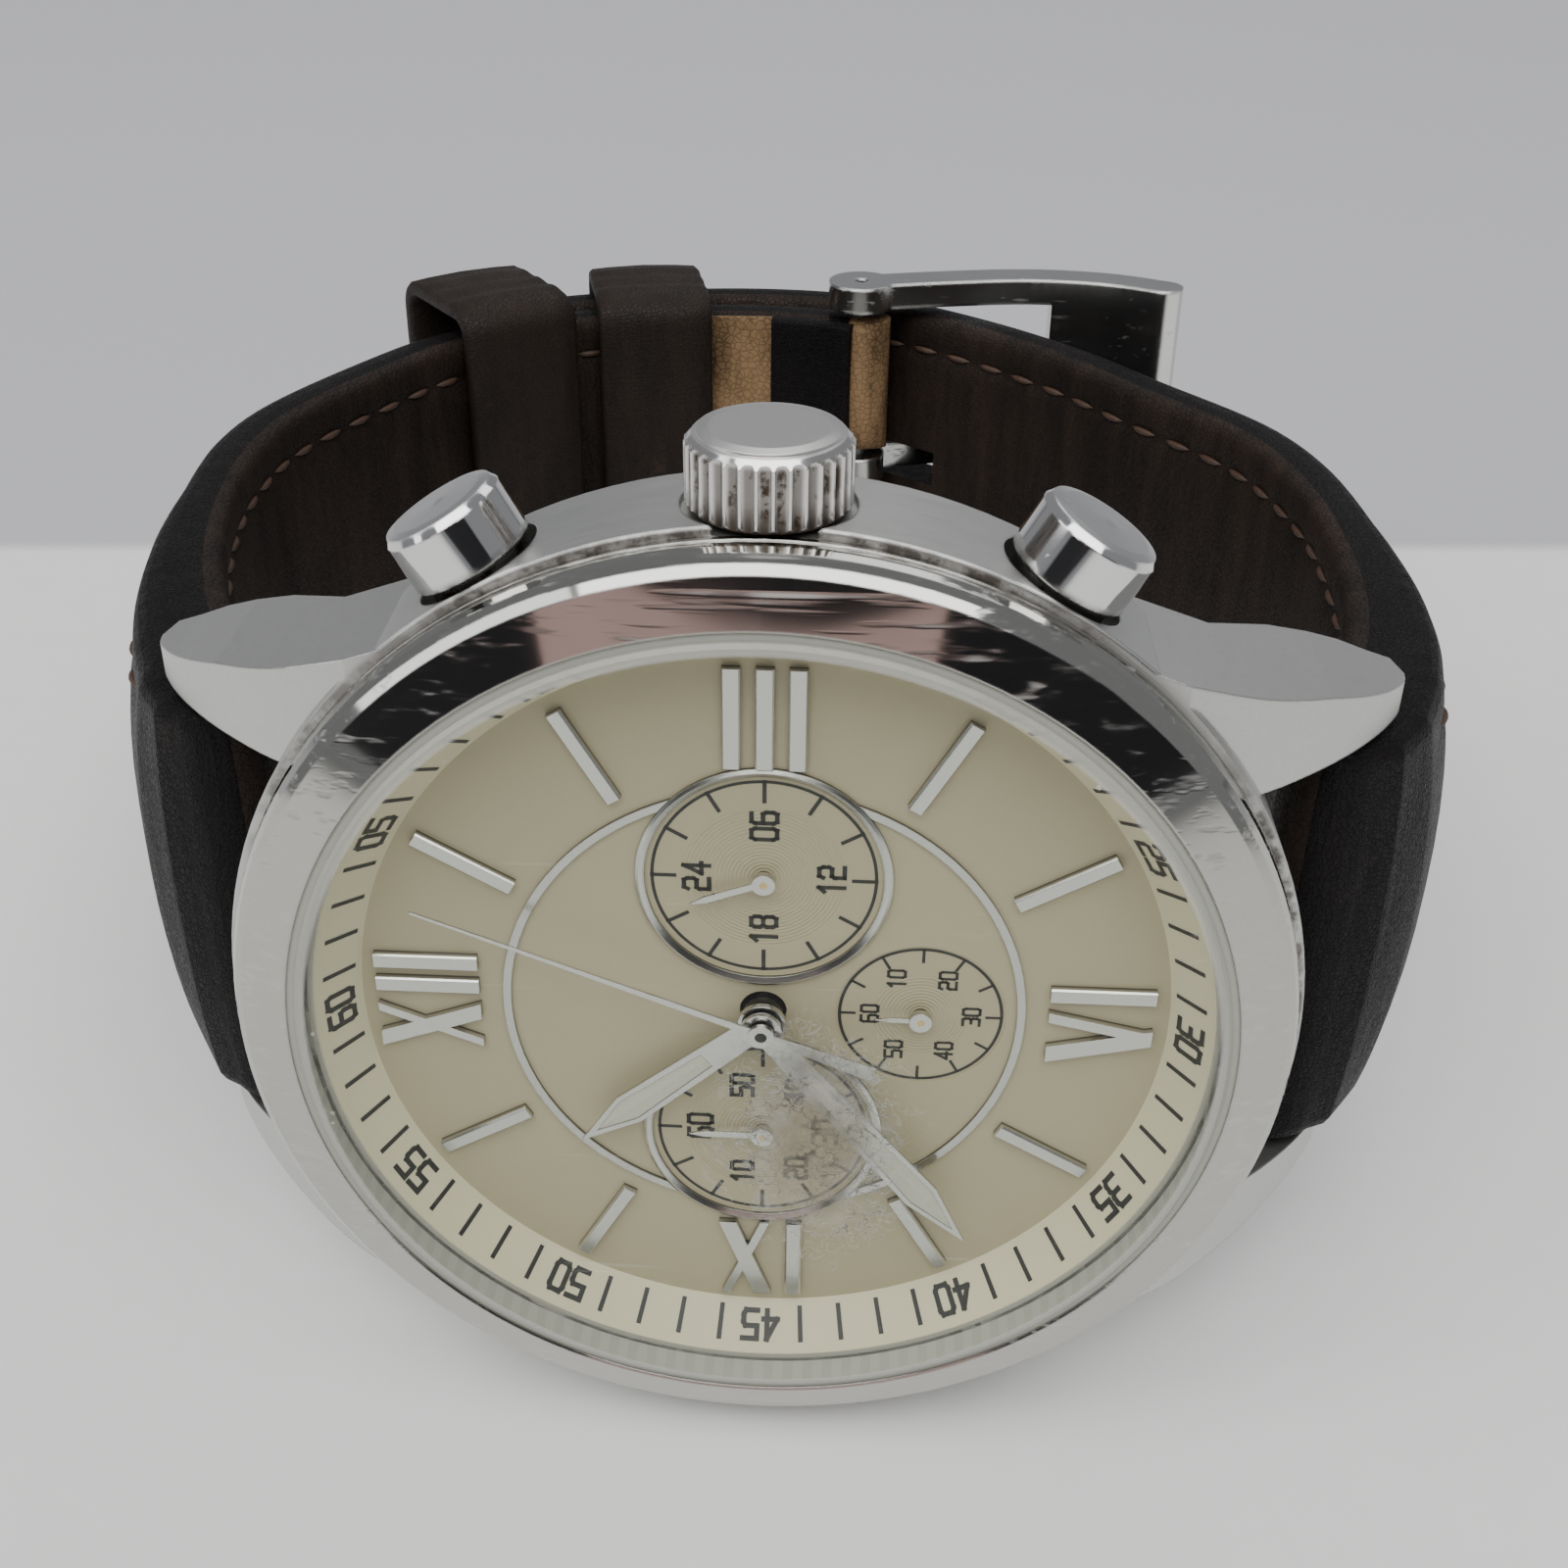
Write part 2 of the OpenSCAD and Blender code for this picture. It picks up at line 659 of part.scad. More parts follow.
// Full thickness of a strap piece, from the inner face to the outer one
module strap_shape(p, t0, t1, share) {
  n = len(p) - 1;
  t = [for (i = [0 : n]) taper(t0, t1, i, n, share) / 2];
  polygon(band(p, -t, t));
}

// The lining's share of a strap piece, on the inner side of the loop
module lining_shape(p, t0, t1, share, inner) {
  n = len(p) - 1;
  t = [for (i = [0 : n]) taper(t0, t1, i, n, share) / 2];
  face = [for (i = [0 : n]) inner * t[i]];
  core = [for (i = [0 : n]) inner * (t[i] - lining_t)];
  polygon(inner > 0 ? band(p, core, face) : band(p, face, core));
}

module strap_12_arm_all() {
  strap_shape(line_12_arm, pad_t, flat_t, 0.6);
  translate(pin_12) circle(r = pad_t / 2);
  translate(flex_12) circle(r = knuckle_r);
}

module strap_6_arm_all() {
  strap_shape(line_6_arm, pad_t, flat_t, 0.6);
  translate(pin_6) circle(r = pad_t / 2);
  translate(flex_6) circle(r = knuckle_r);
}

// Keeps the lining clear of the round ends of a piece
module clear_of(points, r) { for (p = points) translate(p) circle(r = r); }

module strap_12_arm() loop_frame() color([0.16, 0.11, 0.09]) difference() {
  across(leather_w) difference() {
    strap_12_arm_all();
    lining_12_arm_shape();
  }
  pin_hole(pin_12, bar_r + slip);
}

module lining_12_arm_shape() difference() {
  lining_shape(line_12_arm, pad_t, flat_t, 0.6, -1);
  clear_of([pin_12], pad_t / 2 + 0.8);
  clear_of([flex_12], 2.2);
}

module lining_12_arm() loop_frame() color([0.3, 0.2, 0.14])
  across(leather_w) lining_12_arm_shape();

module strap_6_arm() loop_frame() color([0.16, 0.11, 0.09]) difference() {
  across(leather_w) difference() {
    strap_6_arm_all();
    lining_6_arm_shape();
  }
  pin_hole(pin_6, bar_r + 0.15);
}

module lining_6_arm_shape() difference() {
  lining_shape(line_6_arm, pad_t, flat_t, 0.6, 1);
  clear_of([pin_6], pad_t / 2 + 0.8);
  clear_of([flex_6], 2.2);
}

module lining_6_arm() loop_frame() color([0.3, 0.2, 0.14])
  across(leather_w) lining_6_arm_shape();

bar_loop_r = 2.2;

module end_12_all() difference() {
  union() {
    strap_shape(line_12_end, flat_t, tail_t, 0.9);
    translate(buckle_pin) circle(r = bar_loop_r);
  }
  translate(flex_12) circle(r = seat_r);
}

module lining_12_end_shape() difference() {
  intersection() {
    lining_shape(line_12_end, flat_t, tail_t, 0.9, -1);
    translate([-40, 40]) square([36, 40]);
  }
  clear_of([flex_12], 2.6);
}

module strap_12_end() loop_frame() color([0.16, 0.11, 0.09]) difference() {
  across(leather_w) difference() {
    end_12_all();
    lining_12_end_shape();
  }
  pin_hole(buckle_pin, buckle_bar_r);
  translate([buckle_pin[0] - 2.6, buckle_pin[1] - 3, -1.4]) cube([6, 6, 2.8]);
}

module lining_12_end() loop_frame() color([0.3, 0.2, 0.14])
  across(leather_w) lining_12_end_shape();

// Place on the tail at a distance from its flex line, turned so that +y is
// the tail's outer normal
module on_tail(dist) {
  n = len(line_6_tail) - 1;
  i = [for (k = [0 : n]) if (run(line_6_tail, k) <= dist) k];
  k = i[len(i) - 1];
  m = -normal_at(line_6_tail, k);
  translate(concat(line_6_tail[k], 0)) rotate([0, 0, atan2(m[1], m[0]) - 90])
    children();
}

module holes_in_tail() {
  for (d = [3.5, 27.5, 34.5]) on_tail(d) rotate([90, 0, 0])
    cylinder(r = 0.9, h = 8, center = true);
}

module tail_all() difference() {
  strap_shape(line_6_tail, flat_t, tail_t, 0.3);
  translate(flex_6) circle(r = seat_r);
}

module lining_6_tail_shape() difference() {
  lining_shape(line_6_tail, flat_t, tail_t, 0.3, 1);
  clear_of([flex_6], 2.6);
}

module strap_6_tail() loop_frame() color([0.16, 0.11, 0.09]) difference() {
  across(leather_w) difference() {
    tail_all();
    lining_6_tail_shape();
  }
  tongue_slot();
  holes_in_tail();
}

module lining_6_tail() loop_frame() color([0.3, 0.2, 0.14]) difference() {
  across(leather_w) lining_6_tail_shape();
  tongue_slot();
  holes_in_tail();
}

slot_w = 2.4;

module tongue_slot() {
  translate([2.4, 60, -slot_w / 2]) cube([7.4, 12, slot_w]);
}

// ---------- keepers ----------

keeper_l = 7.6;
keeper_t = 1.2;

// Loop of leather round both strap ends. Its middle is at p, and it is
// turned by deg from the x axis.
module keeper(p, deg, inside) {
  half_w = leather_w / 2 + 0.35;
  translate([p[0], p[1], 0]) rotate([0, 0, deg]) difference() {
    translate([-keeper_l / 2, -inside / 2 - keeper_t, -half_w - keeper_t])
      cube([keeper_l, inside + 2 * keeper_t, 2 * (half_w + keeper_t)]);
    translate([-keeper_l, -inside / 2, -half_w])
      cube([2 * keeper_l, inside, 2 * half_w]);
  }
}

module fixed_keeper() loop_frame() color([0.2, 0.14, 0.11])
  keeper([-11.7, 65.6], 12, 7.6);
module free_keeper() loop_frame() color([0.14, 0.11, 0.09])
  keeper([-21.9, 60.9], 36, 8);

// ---------- buckle ----------

frame_line = spline([[3, 63.6], [9, 65.1], [14.5, 66], [19.5, 65.5],
  [23.3, 63.9]], 6);
frame_t = 2.6;

module frame_side_shape() {
  n = len(frame_line) - 1;
  polygon(band(frame_line, [for (i = [0 : n]) -frame_t / 2],
    [for (i = [0 : n]) frame_t / 2]));
  translate(buckle_pin) circle(r = bar_loop_r);
  translate(frame_line[n]) circle(r = frame_t / 2);
}

module buckle_frame() loop_frame() color("silver") difference() {
  union() {
    for (s = [-1, 1]) translate([0, 0, s * (buckle_w - buckle_side_t) / 2])
      across(buckle_side_t) frame_side_shape();
    across(buckle_w) intersection() {
      frame_side_shape();
      translate([16, 50]) square([12, 30]);
    }
  }
  pin_hole(buckle_pin, 0.42 + slip);
}

tongue_line = spline([[3, 65.2], [7, 66.3], [12, 67.8], [17.4, 68.35],
  [21.5, 67.6], [23.6, 66.6]], 5);

module buckle_tongue() loop_frame() color("silver") difference() {
  across(1.8) {
    n = len(tongue_line) - 1;
    polygon(band(tongue_line, [for (i = [0 : n]) -0.55], [for (i = [0 : n]) 0.55]));
    translate(buckle_pin) circle(r = 1.95);
    translate(tongue_line[n]) circle(r = 0.55);
  }
  pin_hole(buckle_pin, buckle_bar_r + slip);
}

mid_case();
bezel();
glass();
glass_gasket();
minute_flange();
dial();
hour_markers();
dial_ring();
counter_rims();
movement_ring();
main_plate();
train_bridge();
battery();
battery_clamp();
motor_coil();
quartz_can();
circuit_board();
case_back();
back_gasket();
crown_tube();
pusher_tubes();
lug_spring_bars();
hour_hand();
hour_wheel();
minute_hand();
cannon_pinion();
chrono_hand();
chrono_arbor();
small_seconds_hand();
small_seconds_wheel();
day_hand();
day_wheel();
chrono_minutes_hand();
chrono_minutes_wheel();
crown();
crown_gasket();
crown_stem();
sliding_pinion();
setting_lever();
pusher_start();
pusher_reset();
spring_start();
spring_reset();
clip_start();
clip_reset();
strap_12_arm();
lining_12_arm();
strap_12_end();
lining_12_end();
strap_6_tail();
lining_6_tail();
strap_6_arm();
lining_6_arm();
fixed_keeper();
free_keeper();
buckle_bar();
buckle_frame();
buckle_tongue();
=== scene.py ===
# %% [markdown]
# # A worn chronograph wristwatch
# The watch stands on its nine o'clock side, with its strap buckled into a loop behind it. The metal
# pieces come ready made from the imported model. This lesson dresses them in finishes, makes the leather
# strap as leather, prints the dial, and lights the watch.
# %% Load the model
import bpy
import bmesh
import json
import math
import random
from mathutils import Matrix, Vector


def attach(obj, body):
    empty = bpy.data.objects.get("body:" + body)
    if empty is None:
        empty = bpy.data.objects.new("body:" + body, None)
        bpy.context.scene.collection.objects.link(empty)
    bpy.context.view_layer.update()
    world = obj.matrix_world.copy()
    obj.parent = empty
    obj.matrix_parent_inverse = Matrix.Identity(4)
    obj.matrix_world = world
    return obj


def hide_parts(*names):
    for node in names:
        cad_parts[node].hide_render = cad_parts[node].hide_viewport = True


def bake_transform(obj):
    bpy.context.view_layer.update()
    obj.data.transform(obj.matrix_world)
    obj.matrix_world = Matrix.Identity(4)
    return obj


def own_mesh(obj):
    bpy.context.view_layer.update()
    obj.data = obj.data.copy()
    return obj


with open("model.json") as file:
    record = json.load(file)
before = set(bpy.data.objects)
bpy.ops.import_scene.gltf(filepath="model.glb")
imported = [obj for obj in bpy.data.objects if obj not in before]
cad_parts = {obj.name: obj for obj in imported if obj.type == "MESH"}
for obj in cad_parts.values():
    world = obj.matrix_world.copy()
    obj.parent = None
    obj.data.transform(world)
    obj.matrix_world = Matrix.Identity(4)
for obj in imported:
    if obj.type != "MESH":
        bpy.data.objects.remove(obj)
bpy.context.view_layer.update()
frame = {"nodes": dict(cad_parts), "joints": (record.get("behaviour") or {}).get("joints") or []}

nodes = frame["nodes"]

# %% [markdown]
# ## Two rulers
# Everything is measured in millimetres from the middle of the dial. The strap is easiest to draw in the
# loop's own directions: x to six o'clock, y from the dial into the wrist, z to three o'clock. The head is
# easiest in h (to three o'clock), v (to twelve o'clock) and d (out of the dial). A joint's axis tells us
# where those directions point, so no number has to be fitted by eye.
# %% Rulers
joint = {j["name"]: j for j in frame["joints"]}
MM, PER_METRE = 0.001, 1000      # metres in a millimetre, and millimetres in a metre
dial_middle = Vector(joint["minute_turn"]["pos_m"])
to_wrist = Vector(joint["minute_turn"]["axis"]).normalized()
to_three = Vector(joint["arm_12_flex"]["axis"]).normalized()
to_six = to_wrist.cross(to_three)


def loop(x, y, z=0.0):
    """A point of the strap's loop, from millimetres to metres in the model's frame."""
    return dial_middle + (to_six * x + to_wrist * y + to_three * z) * MM


def head(h, v, d=0.0):
    """A point of the head, from millimetres to metres in the model's frame."""
    return loop(-v, -d, h)


print("six o'clock points along", [round(c, 3) for c in to_six])

# %% [markdown]
# ## Writing shader sums as sums
# A material is a graph of nodes, and arithmetic in it soon needs dozens of Math nodes. One small class
# wraps a socket and lets Python's own operators add those nodes, so `1 - mask * 0.5` reads as it is meant.
# Every other node comes from one method that takes its type, its settings and its inputs.
# %% Socket arithmetic
class Value:
    """A number that varies over a surface: one output socket of a node graph."""

    def __init__(self, finish, socket):
        self.finish, self.socket = finish, socket

    def math(self, operation, *others):
        inputs = dict(enumerate((self, *others)))
        return self.finish.node("ShaderNodeMath", {"operation": operation}, inputs)

    def __add__(self, other):
        return self.math("ADD", other)

    def __radd__(self, other):
        return self.math("ADD", other)

    def __mul__(self, other):
        return self.math("MULTIPLY", other)

    def __rmul__(self, other):
        return self.math("MULTIPLY", other)

    def __sub__(self, other):
        return self.math("SUBTRACT", other)

    def __rsub__(self, other):
        return self.math("SUBTRACT", other).math("MULTIPLY", -1.0)

    def __pow__(self, other):
        return self.math("POWER", other)

    def between(self, low, high):
        """0 at low and 1 at high, smooth in between."""
        inputs = {"Value": self, "From Min": low, "From Max": high}
        return self.finish.node("ShaderNodeMapRange", {"interpolation_type": "SMOOTHSTEP"}, inputs)


class Finish:
    """One material and its node graph."""

    def __init__(self, name, **uniform):
        self.material = bpy.data.materials.new(name)
        self.material.use_nodes = True
        self.tree = self.material.node_tree
        self.surface = self.tree.nodes["Principled BSDF"]
        self.place = self.node("ShaderNodeTexCoord", {}, {}, "Object")
        for socket, value in uniform.items():
            self.surface.inputs[socket.replace("_", " ")].default_value = value

    def node(self, kind, settings, inputs, output=0):
        made = self.tree.nodes.new(kind)
        for name, value in settings.items():
            setattr(made, name, value)
        for name, value in inputs.items():
            self.feed(made.inputs[name], value)
        return Value(self, made.outputs[output])

    def feed(self, socket, value):
        if isinstance(value, Value):
            self.tree.links.new(value.socket, socket)
        else:
            socket.default_value = value

    def set(self, **varying):
        for name, value in varying.items():
            self.feed(self.surface.inputs[name.replace("_", " ")], value)

    def mix(self, factor, a, b):
        """Colour a where factor is 0, colour b where it is 1."""
        pair = {6: (*a, 1) if isinstance(a, tuple) else a, 7: (*b, 1) if isinstance(b, tuple) else b}
        return self.node("ShaderNodeMix", {"data_type": "RGBA"}, {0: factor, **pair}, 2)

    def noise(self, scale, detail=3.0, rough=0.5, place=None):
        inputs = {"Vector": place or self.place, "Scale": scale, "Detail": detail, "Roughness": rough}
        return self.node("ShaderNodeTexNoise", {}, inputs)

    def along(self, direction):
        """Millimetres along a direction of the model, from the middle of the dial."""
        offset = self.vector_math("SUBTRACT", self.place, tuple(dial_middle))
        return self.vector_math("DOT_PRODUCT", offset, tuple(direction * PER_METRE), "Value")

    def vector_math(self, operation, a, b, output=0):
        return self.node("ShaderNodeVectorMath", {"operation": operation}, {0: a, 1: b}, output)

    def vector(self, x, y, z):
        return self.node("ShaderNodeCombineXYZ", {}, {"X": x, "Y": y, "Z": z})

    def bump(self, height, depth_mm, strength=1.0, normal=None):
        inputs = {"Height": height, "Distance": depth_mm * MM, "Strength": strength}
        if normal:
            inputs["Normal"] = normal
        return self.node("ShaderNodeBump", {}, inputs)

    def soft_edge(self, radius_mm):
        """The normal with its edges rounded off, for pieces whose corners are broken by polishing."""
        return self.node("ShaderNodeBevel", {"samples": 4}, {"Radius": radius_mm * MM})


def add_object(name, data):
    """A new object in the scene."""
    made = bpy.data.objects.new(name, data)
    bpy.context.scene.collection.objects.link(made)
    return made


def dress(finish, *names):
    """Gives the finish to model nodes."""
    for name in names:
        mesh = nodes[name].data
        mesh.materials.clear()
        mesh.materials.append(finish.material)
    print(finish.material.name, "on", ", ".join(names))


# %% [markdown]
# ## Hairlines and wear
# Worn steel is never clean. Two recipes are shared by the metal finishes. Hairlines are noise stretched so
# far that only thin lines are left, laid in three directions. Grime is soft noise that gathers where a
# cloth can't reach, so it is multiplied by a mask of those places.
# %% Wear recipes
SCRATCH_TURNS = ((0.35, 0.0), (1.45, 7.0), (2.5, 13.0))      # a turn in radians and a place to start
SCRATCH_STRETCH = (45.0, 1900.0, 1900.0)


def hairlines(f, density):
    """Thin random scratches, 0 to 1."""
    total = None
    for turn, seed in SCRATCH_TURNS:
        rotated = f.node("ShaderNodeMapping", {}, {
            "Vector": f.place, "Location": (seed, seed, seed), "Rotation": (0.4 * turn, turn, 0.9 * turn),
            "Scale": SCRATCH_STRETCH})
        lines = f.noise(1.0, 2.0, 0.6, rotated).between(0.70 - 0.03 * density, 0.78)
        patch = f.noise(220.0 + 10 * seed, 1.0).between(0.52 - 0.07 * density, 0.62)
        lines = lines * patch
        total = lines if total is None else total.math("MAXIMUM", lines)
    return total


def grime(f, where):
    """Dirt in the given places, broken up by noise."""
    return where * f.noise(900.0, 5.0, 0.65).between(0.36, 0.60)


def head_place(f):
    """Millimetres to three o'clock, to twelve o'clock and out of the dial, at each point of a surface."""
    return f.along(to_three), f.along(-to_six), f.along(-to_wrist)


GRIME = (0.045, 0.028, 0.016)
STEEL = (0.47, 0.465, 0.435)
print("hairlines run in", len(SCRATCH_TURNS), "directions")

# %% [markdown]
# ## Polished bezel
# The bezel is a mirror with thousands of hairlines, and its seam against the case holds brown grime. A
# mirror has almost no colour of its own: it shows what stands round it, which is why the lights come with
# cards later.
# %% Bezel finish
f = Finish("polished_bezel", Metallic=1.0)
out_of_dial = f.along(-to_wrist)
scratches = hairlines(f, 4.5)
in_groove = out_of_dial.between(0.24, 0.36) * (1 - out_of_dial.between(0.42, 0.54))
seam = grime(f, in_groove + (1 - out_of_dial.between(0.0, 0.12)))
seam = seam * f.noise(90.0, 2.0).between(0.35, 0.65)
haze = f.noise(130.0, 4.0).between(0.45, 0.75)
f.set(Base_Color=f.mix(seam * 0.85, f.mix(scratches * 0.25, STEEL, (0.8, 0.8, 0.8)), GRIME),
      Roughness=0.06 + haze * 0.05 + scratches * 0.42 + seam * 0.4,
      Normal=f.bump(1 - scratches, 0.006, 0.6, f.soft_edge(0.12)))
dress(f, "bezel")

# %% [markdown]
# ## Brushed case
# The flank and lugs are brushed along the case, so the noise is long towards twelve o'clock and fine
# across it. Round the flank the same lines have to follow the circle, so the fine direction there is the
# distance from the middle. Edges are bright, because sleeves polish them: the bevelled normal differs
# from the true one only there, and that difference is the mask.
# %% Case finish
f = Finish("brushed_case", Metallic=1.0)
h, v, d = head_place(f)
radius = (h * h + v * v).math("SQRT")
on_lug = radius.between(22.3, 22.7)
across = h * on_lug + radius * (1 - on_lug)
brushing = f.noise(1.0, 3.0, 0.6, f.vector(across * 9.0, v * 0.35, d * 9.0))
softened = f.soft_edge(0.16)
true_normal = f.node("ShaderNodeNewGeometry", {}, {}, "Normal")
aligned = f.vector_math("DOT_PRODUCT", softened, true_normal, "Value")
edge = 1 - aligned.between(0.90, 0.995)
scratches = hairlines(f, 0.8)
under_bezel = d.between(-0.16, -0.02) * (1 - radius.between(22.15, 22.5))
seam = grime(f, under_bezel) * f.noise(90.0, 2.0).between(0.35, 0.65)
f.set(Base_Color=f.mix(seam * 0.8, f.mix(brushing, (0.51, 0.51, 0.49), (0.65, 0.65, 0.63)), GRIME),
      Roughness=0.36 + brushing * 0.14 - edge * 0.24 + scratches * 0.06 + seam * 0.2,
      Normal=f.bump(brushing - scratches * 0.6, 0.006, 0.35, softened))
dress(f, "mid_case", "case_back")

# %% [markdown]
# ## Crown and pushers
# The crown's end is a satin disc and its flutes are polished but packed with grime, so the dirt mask
# is the distance from the crown's own axis. The pushers have mirror sides, satin ends and a dark neck.
# %% Crown finish
CROWN_DEPTH = -2.75      # the crown's axis, in mm out of the dial
f = Finish("crown_steel", Metallic=1.0)
h, v, d = head_place(f)
off_axis = (v * v + (d - CROWN_DEPTH) * (d - CROWN_DEPTH)).math("SQRT")
end = h.between(24.85, 24.95)
in_flute = (1 - off_axis.between(3.00, 3.15)) * (1 - h.between(24.5, 24.75))
dirt = grime(f, in_flute).math("MAXIMUM", in_flute * (0.62 + 0.3 * (1 - h.between(22.2, 23.4))))
satin = f.noise(1.0, 3.0, 0.6, f.vector(off_axis * 22.0, v * 2.0, d * 2.0))
scratches = hairlines(f, 1.0)
f.set(Base_Color=f.mix(dirt, f.mix(satin, (0.62, 0.61, 0.59), (0.74, 0.73, 0.71)), (0.085, 0.06, 0.042)),
      Roughness=0.12 + end * (0.16 + satin * 0.12) + scratches * 0.15 + dirt * 0.5,
      Normal=f.bump(satin * end - scratches * 0.5, 0.005, 0.4, f.soft_edge(0.08)))
dress(f, "crown")

# %% Pusher finish
PUSHER_TURN = math.radians(30)      # from three o'clock, to both sides
f = Finish("pusher_steel", Metallic=1.0)
h, v, d = head_place(f)
outward = h * math.cos(PUSHER_TURN) + v.math("ABSOLUTE") * math.sin(PUSHER_TURN)
end = outward.between(24.85, 25.05)
neck = 1 - outward.between(22.5, 23.0)
satin = f.noise(900.0, 3.0)
scratches = hairlines(f, 1.0)
dirt = grime(f, neck).math("MAXIMUM", neck * 0.55)
f.set(Base_Color=f.mix(dirt, (0.70, 0.70, 0.69), (0.04, 0.027, 0.018)),
      Roughness=0.06 + end * (0.18 + satin * 0.10) + scratches * 0.2 + dirt * 0.4,
      Normal=f.bump(satin * end - scratches * 0.6, 0.004, 0.4, f.soft_edge(0.12)))
dress(f, "pusher_start", "pusher_reset")

# %% [markdown]
# ## Buckle and small steel
# The buckle is pressed, polished and then scratched by every table it has met. Pins, tubes, clips and
# springs are plain turned steel: fine rings of noise along their length are enough.
# %% Buckle and turned steel
f = Finish("polished_buckle", Metallic=1.0)
scratches = hairlines(f, 1.8)
haze = f.noise(160.0, 4.0)
f.set(Base_Color=f.mix(haze, (0.60, 0.60, 0.58), (0.74, 0.74, 0.72)),
      Roughness=0.13 + haze * 0.12 + scratches * 0.3,
      Normal=f.bump(1 - scratches, 0.006, 0.6, f.soft_edge(0.35)))
dress(f, "buckle_frame", "buckle_tongue")

f = Finish("turned_steel", Metallic=1.0)
rings = f.noise(1.0, 2.0, 0.5, f.vector(f.along(to_three) * 14.0, 0.0, 0.0))
f.set(Base_Color=f.mix(rings, (0.22, 0.22, 0.22), (0.42, 0.42, 0.42)), Roughness=0.2 + rings * 0.25,
      Normal=f.bump(rings, 0.004, 0.3))
dress(f, "crown_stem", "crown_tube", "pusher_tubes", "lug_spring_bars", "buckle_bar", "spring_start",
      "spring_reset", "clip_start", "clip_reset", "setting_lever")

# %% [markdown]
# ## Dial
# The dial is a cream lacquer with a very fine tooth. The counters are turned with rings like a record,
# which is bump only: the height is a wave of the distance from each counter's middle. A faint warm
# unevenness keeps the lacquer from looking like plastic.
# %% Dial finish
COUNTERS = ((6.7, 0.0, 3.3), (-6.7, 0.0, 3.3), (0.0, -6.65, 2.0))      # middle h, v and reach of the rings
RING_PITCH = 0.16
DIAL_LIGHT = (0.50, 0.44, 0.295)
DIAL_DARK = (0.44, 0.385, 0.25)
f = Finish("dial_lacquer")
h, v = f.along(to_three), f.along(-to_six)
grooves = None
for cx, cy, reach in COUNTERS:
    off = ((h - cx) * (h - cx) + (v - cy) * (v - cy)).math("SQRT")
    ring = (off * (2 * math.pi / RING_PITCH)).math("SINE") * (1 - off.between(reach, reach + 0.1))
    grooves = ring if grooves is None else grooves + ring
tooth = f.noise(9000.0, 2.0)
cloud = f.noise(60.0, 3.0)
f.set(Base_Color=f.mix(cloud * 0.7 + tooth * 0.3, DIAL_DARK, DIAL_LIGHT), Roughness=0.42 + tooth * 0.2,
      Normal=f.bump(tooth * 0.4 + grooves * 0.9, 0.02, 0.6))
dress(f, "dial")

f = Finish("flange_lacquer")
tooth = f.noise(7000.0, 2.0)
cloud = f.noise(90.0, 3.0)
f.set(Base_Color=f.mix(cloud, (0.65, 0.59, 0.41), (0.71, 0.65, 0.46)), Roughness=0.45 + tooth * 0.15,
      Normal=f.bump(tooth, 0.006, 0.5))
dress(f, "minute_flange")

# %% [markdown]
# ## Applied steel and hands
# The numerals and the hands' frames are finely brushed, with edges just soft enough to catch a light. Each
# numeral has painted shade at its foot, where it meets the lacquer: the steel's colour darkens close to the
# dial in place of contact shadow.
# %% Marker finish
f = Finish("marker_steel", Metallic=1.0)
grain = f.noise(1.0, 3.0, 0.6, f.vector(f.along(to_three) * 30.0, f.along(-to_six) * 3.0, 0.0))
# painted contact shade: a mask that is 1 close to the dial's level, where the steel meets the lacquer
painted_foot_shade = 1 - f.along(-to_wrist).between(-0.58, -0.40)
steel_tone = f.mix(grain, (0.56, 0.55, 0.53), (0.68, 0.67, 0.65))
# the dark colour mixed in here is painted shade at the foot of each numeral
f.set(Base_Color=f.mix(painted_foot_shade * 0.85, steel_tone, (0.05, 0.045, 0.04)),
      Roughness=0.14 + grain * 0.12, Normal=f.bump(grain, 0.003, 0.4, f.soft_edge(0.04)))
dress(f, "hour_markers", "dial_ring", "counter_rims", "hour_hand", "minute_hand", "chrono_hand",
      "small_seconds_hand", "day_hand", "chrono_minutes_hand")

f = Finish("black_polished_hub", Metallic=1.0)
swirl = f.noise(1500.0, 2.0)
f.set(Base_Color=f.mix(swirl, (0.03, 0.03, 0.03), (0.07, 0.07, 0.07)), Roughness=0.10 + swirl * 0.1)
dress(f, "hour_wheel", "cannon_pinion", "chrono_arbor")

# %% [markdown]
# ## Pusher springs
# A coil spring can't be one rigid piece when its pusher goes in. Each coil gets a copy of its own that
# rides on the case, and the copy stands in for the model's own coil.
# %% Spring copies
SPRING_LENGTH, PUSH_TRAVEL = 3.6, 1.1
for name in ("start", "reset"):
    coil = add_object(f"coil_{name}", nodes[f"spring_{name}"].data.copy())
    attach(coil, "case")
    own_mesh(coil)
    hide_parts(f"spring_{name}")
    print(coil.name, "shortens by", PUSH_TRAVEL, "mm")

# %% [markdown]
# ## Works and seals
# Nothing here shows until the case is opened, but each piece still has its own finish: gilt wheels, a
# brushed bridge, enamelled copper wire wound on the coil, a green board, nylon and rubber.
# %% Works finishes
LOOP_WAYS = (to_six, to_wrist, to_three)


def simple(name, low, high, metallic, rough, scale, depth_mm, direction, *names):
    """A finish whose colour, gloss and relief follow one streaked noise."""
    f = Finish(name, Metallic=metallic)
    streak = f.noise(1.0, 3.0, 0.55, f.vector(*(f.along(a) * s for a, s in zip(LOOP_WAYS, direction))))
    fine = f.noise(scale, 3.0)
    f.set(Base_Color=f.mix(streak * 0.6 + fine * 0.4, low, high), Roughness=rough + fine * 0.2,
          Normal=f.bump(streak * 0.6 + fine * 0.4, depth_mm, 0.5))
    dress(f, *names)


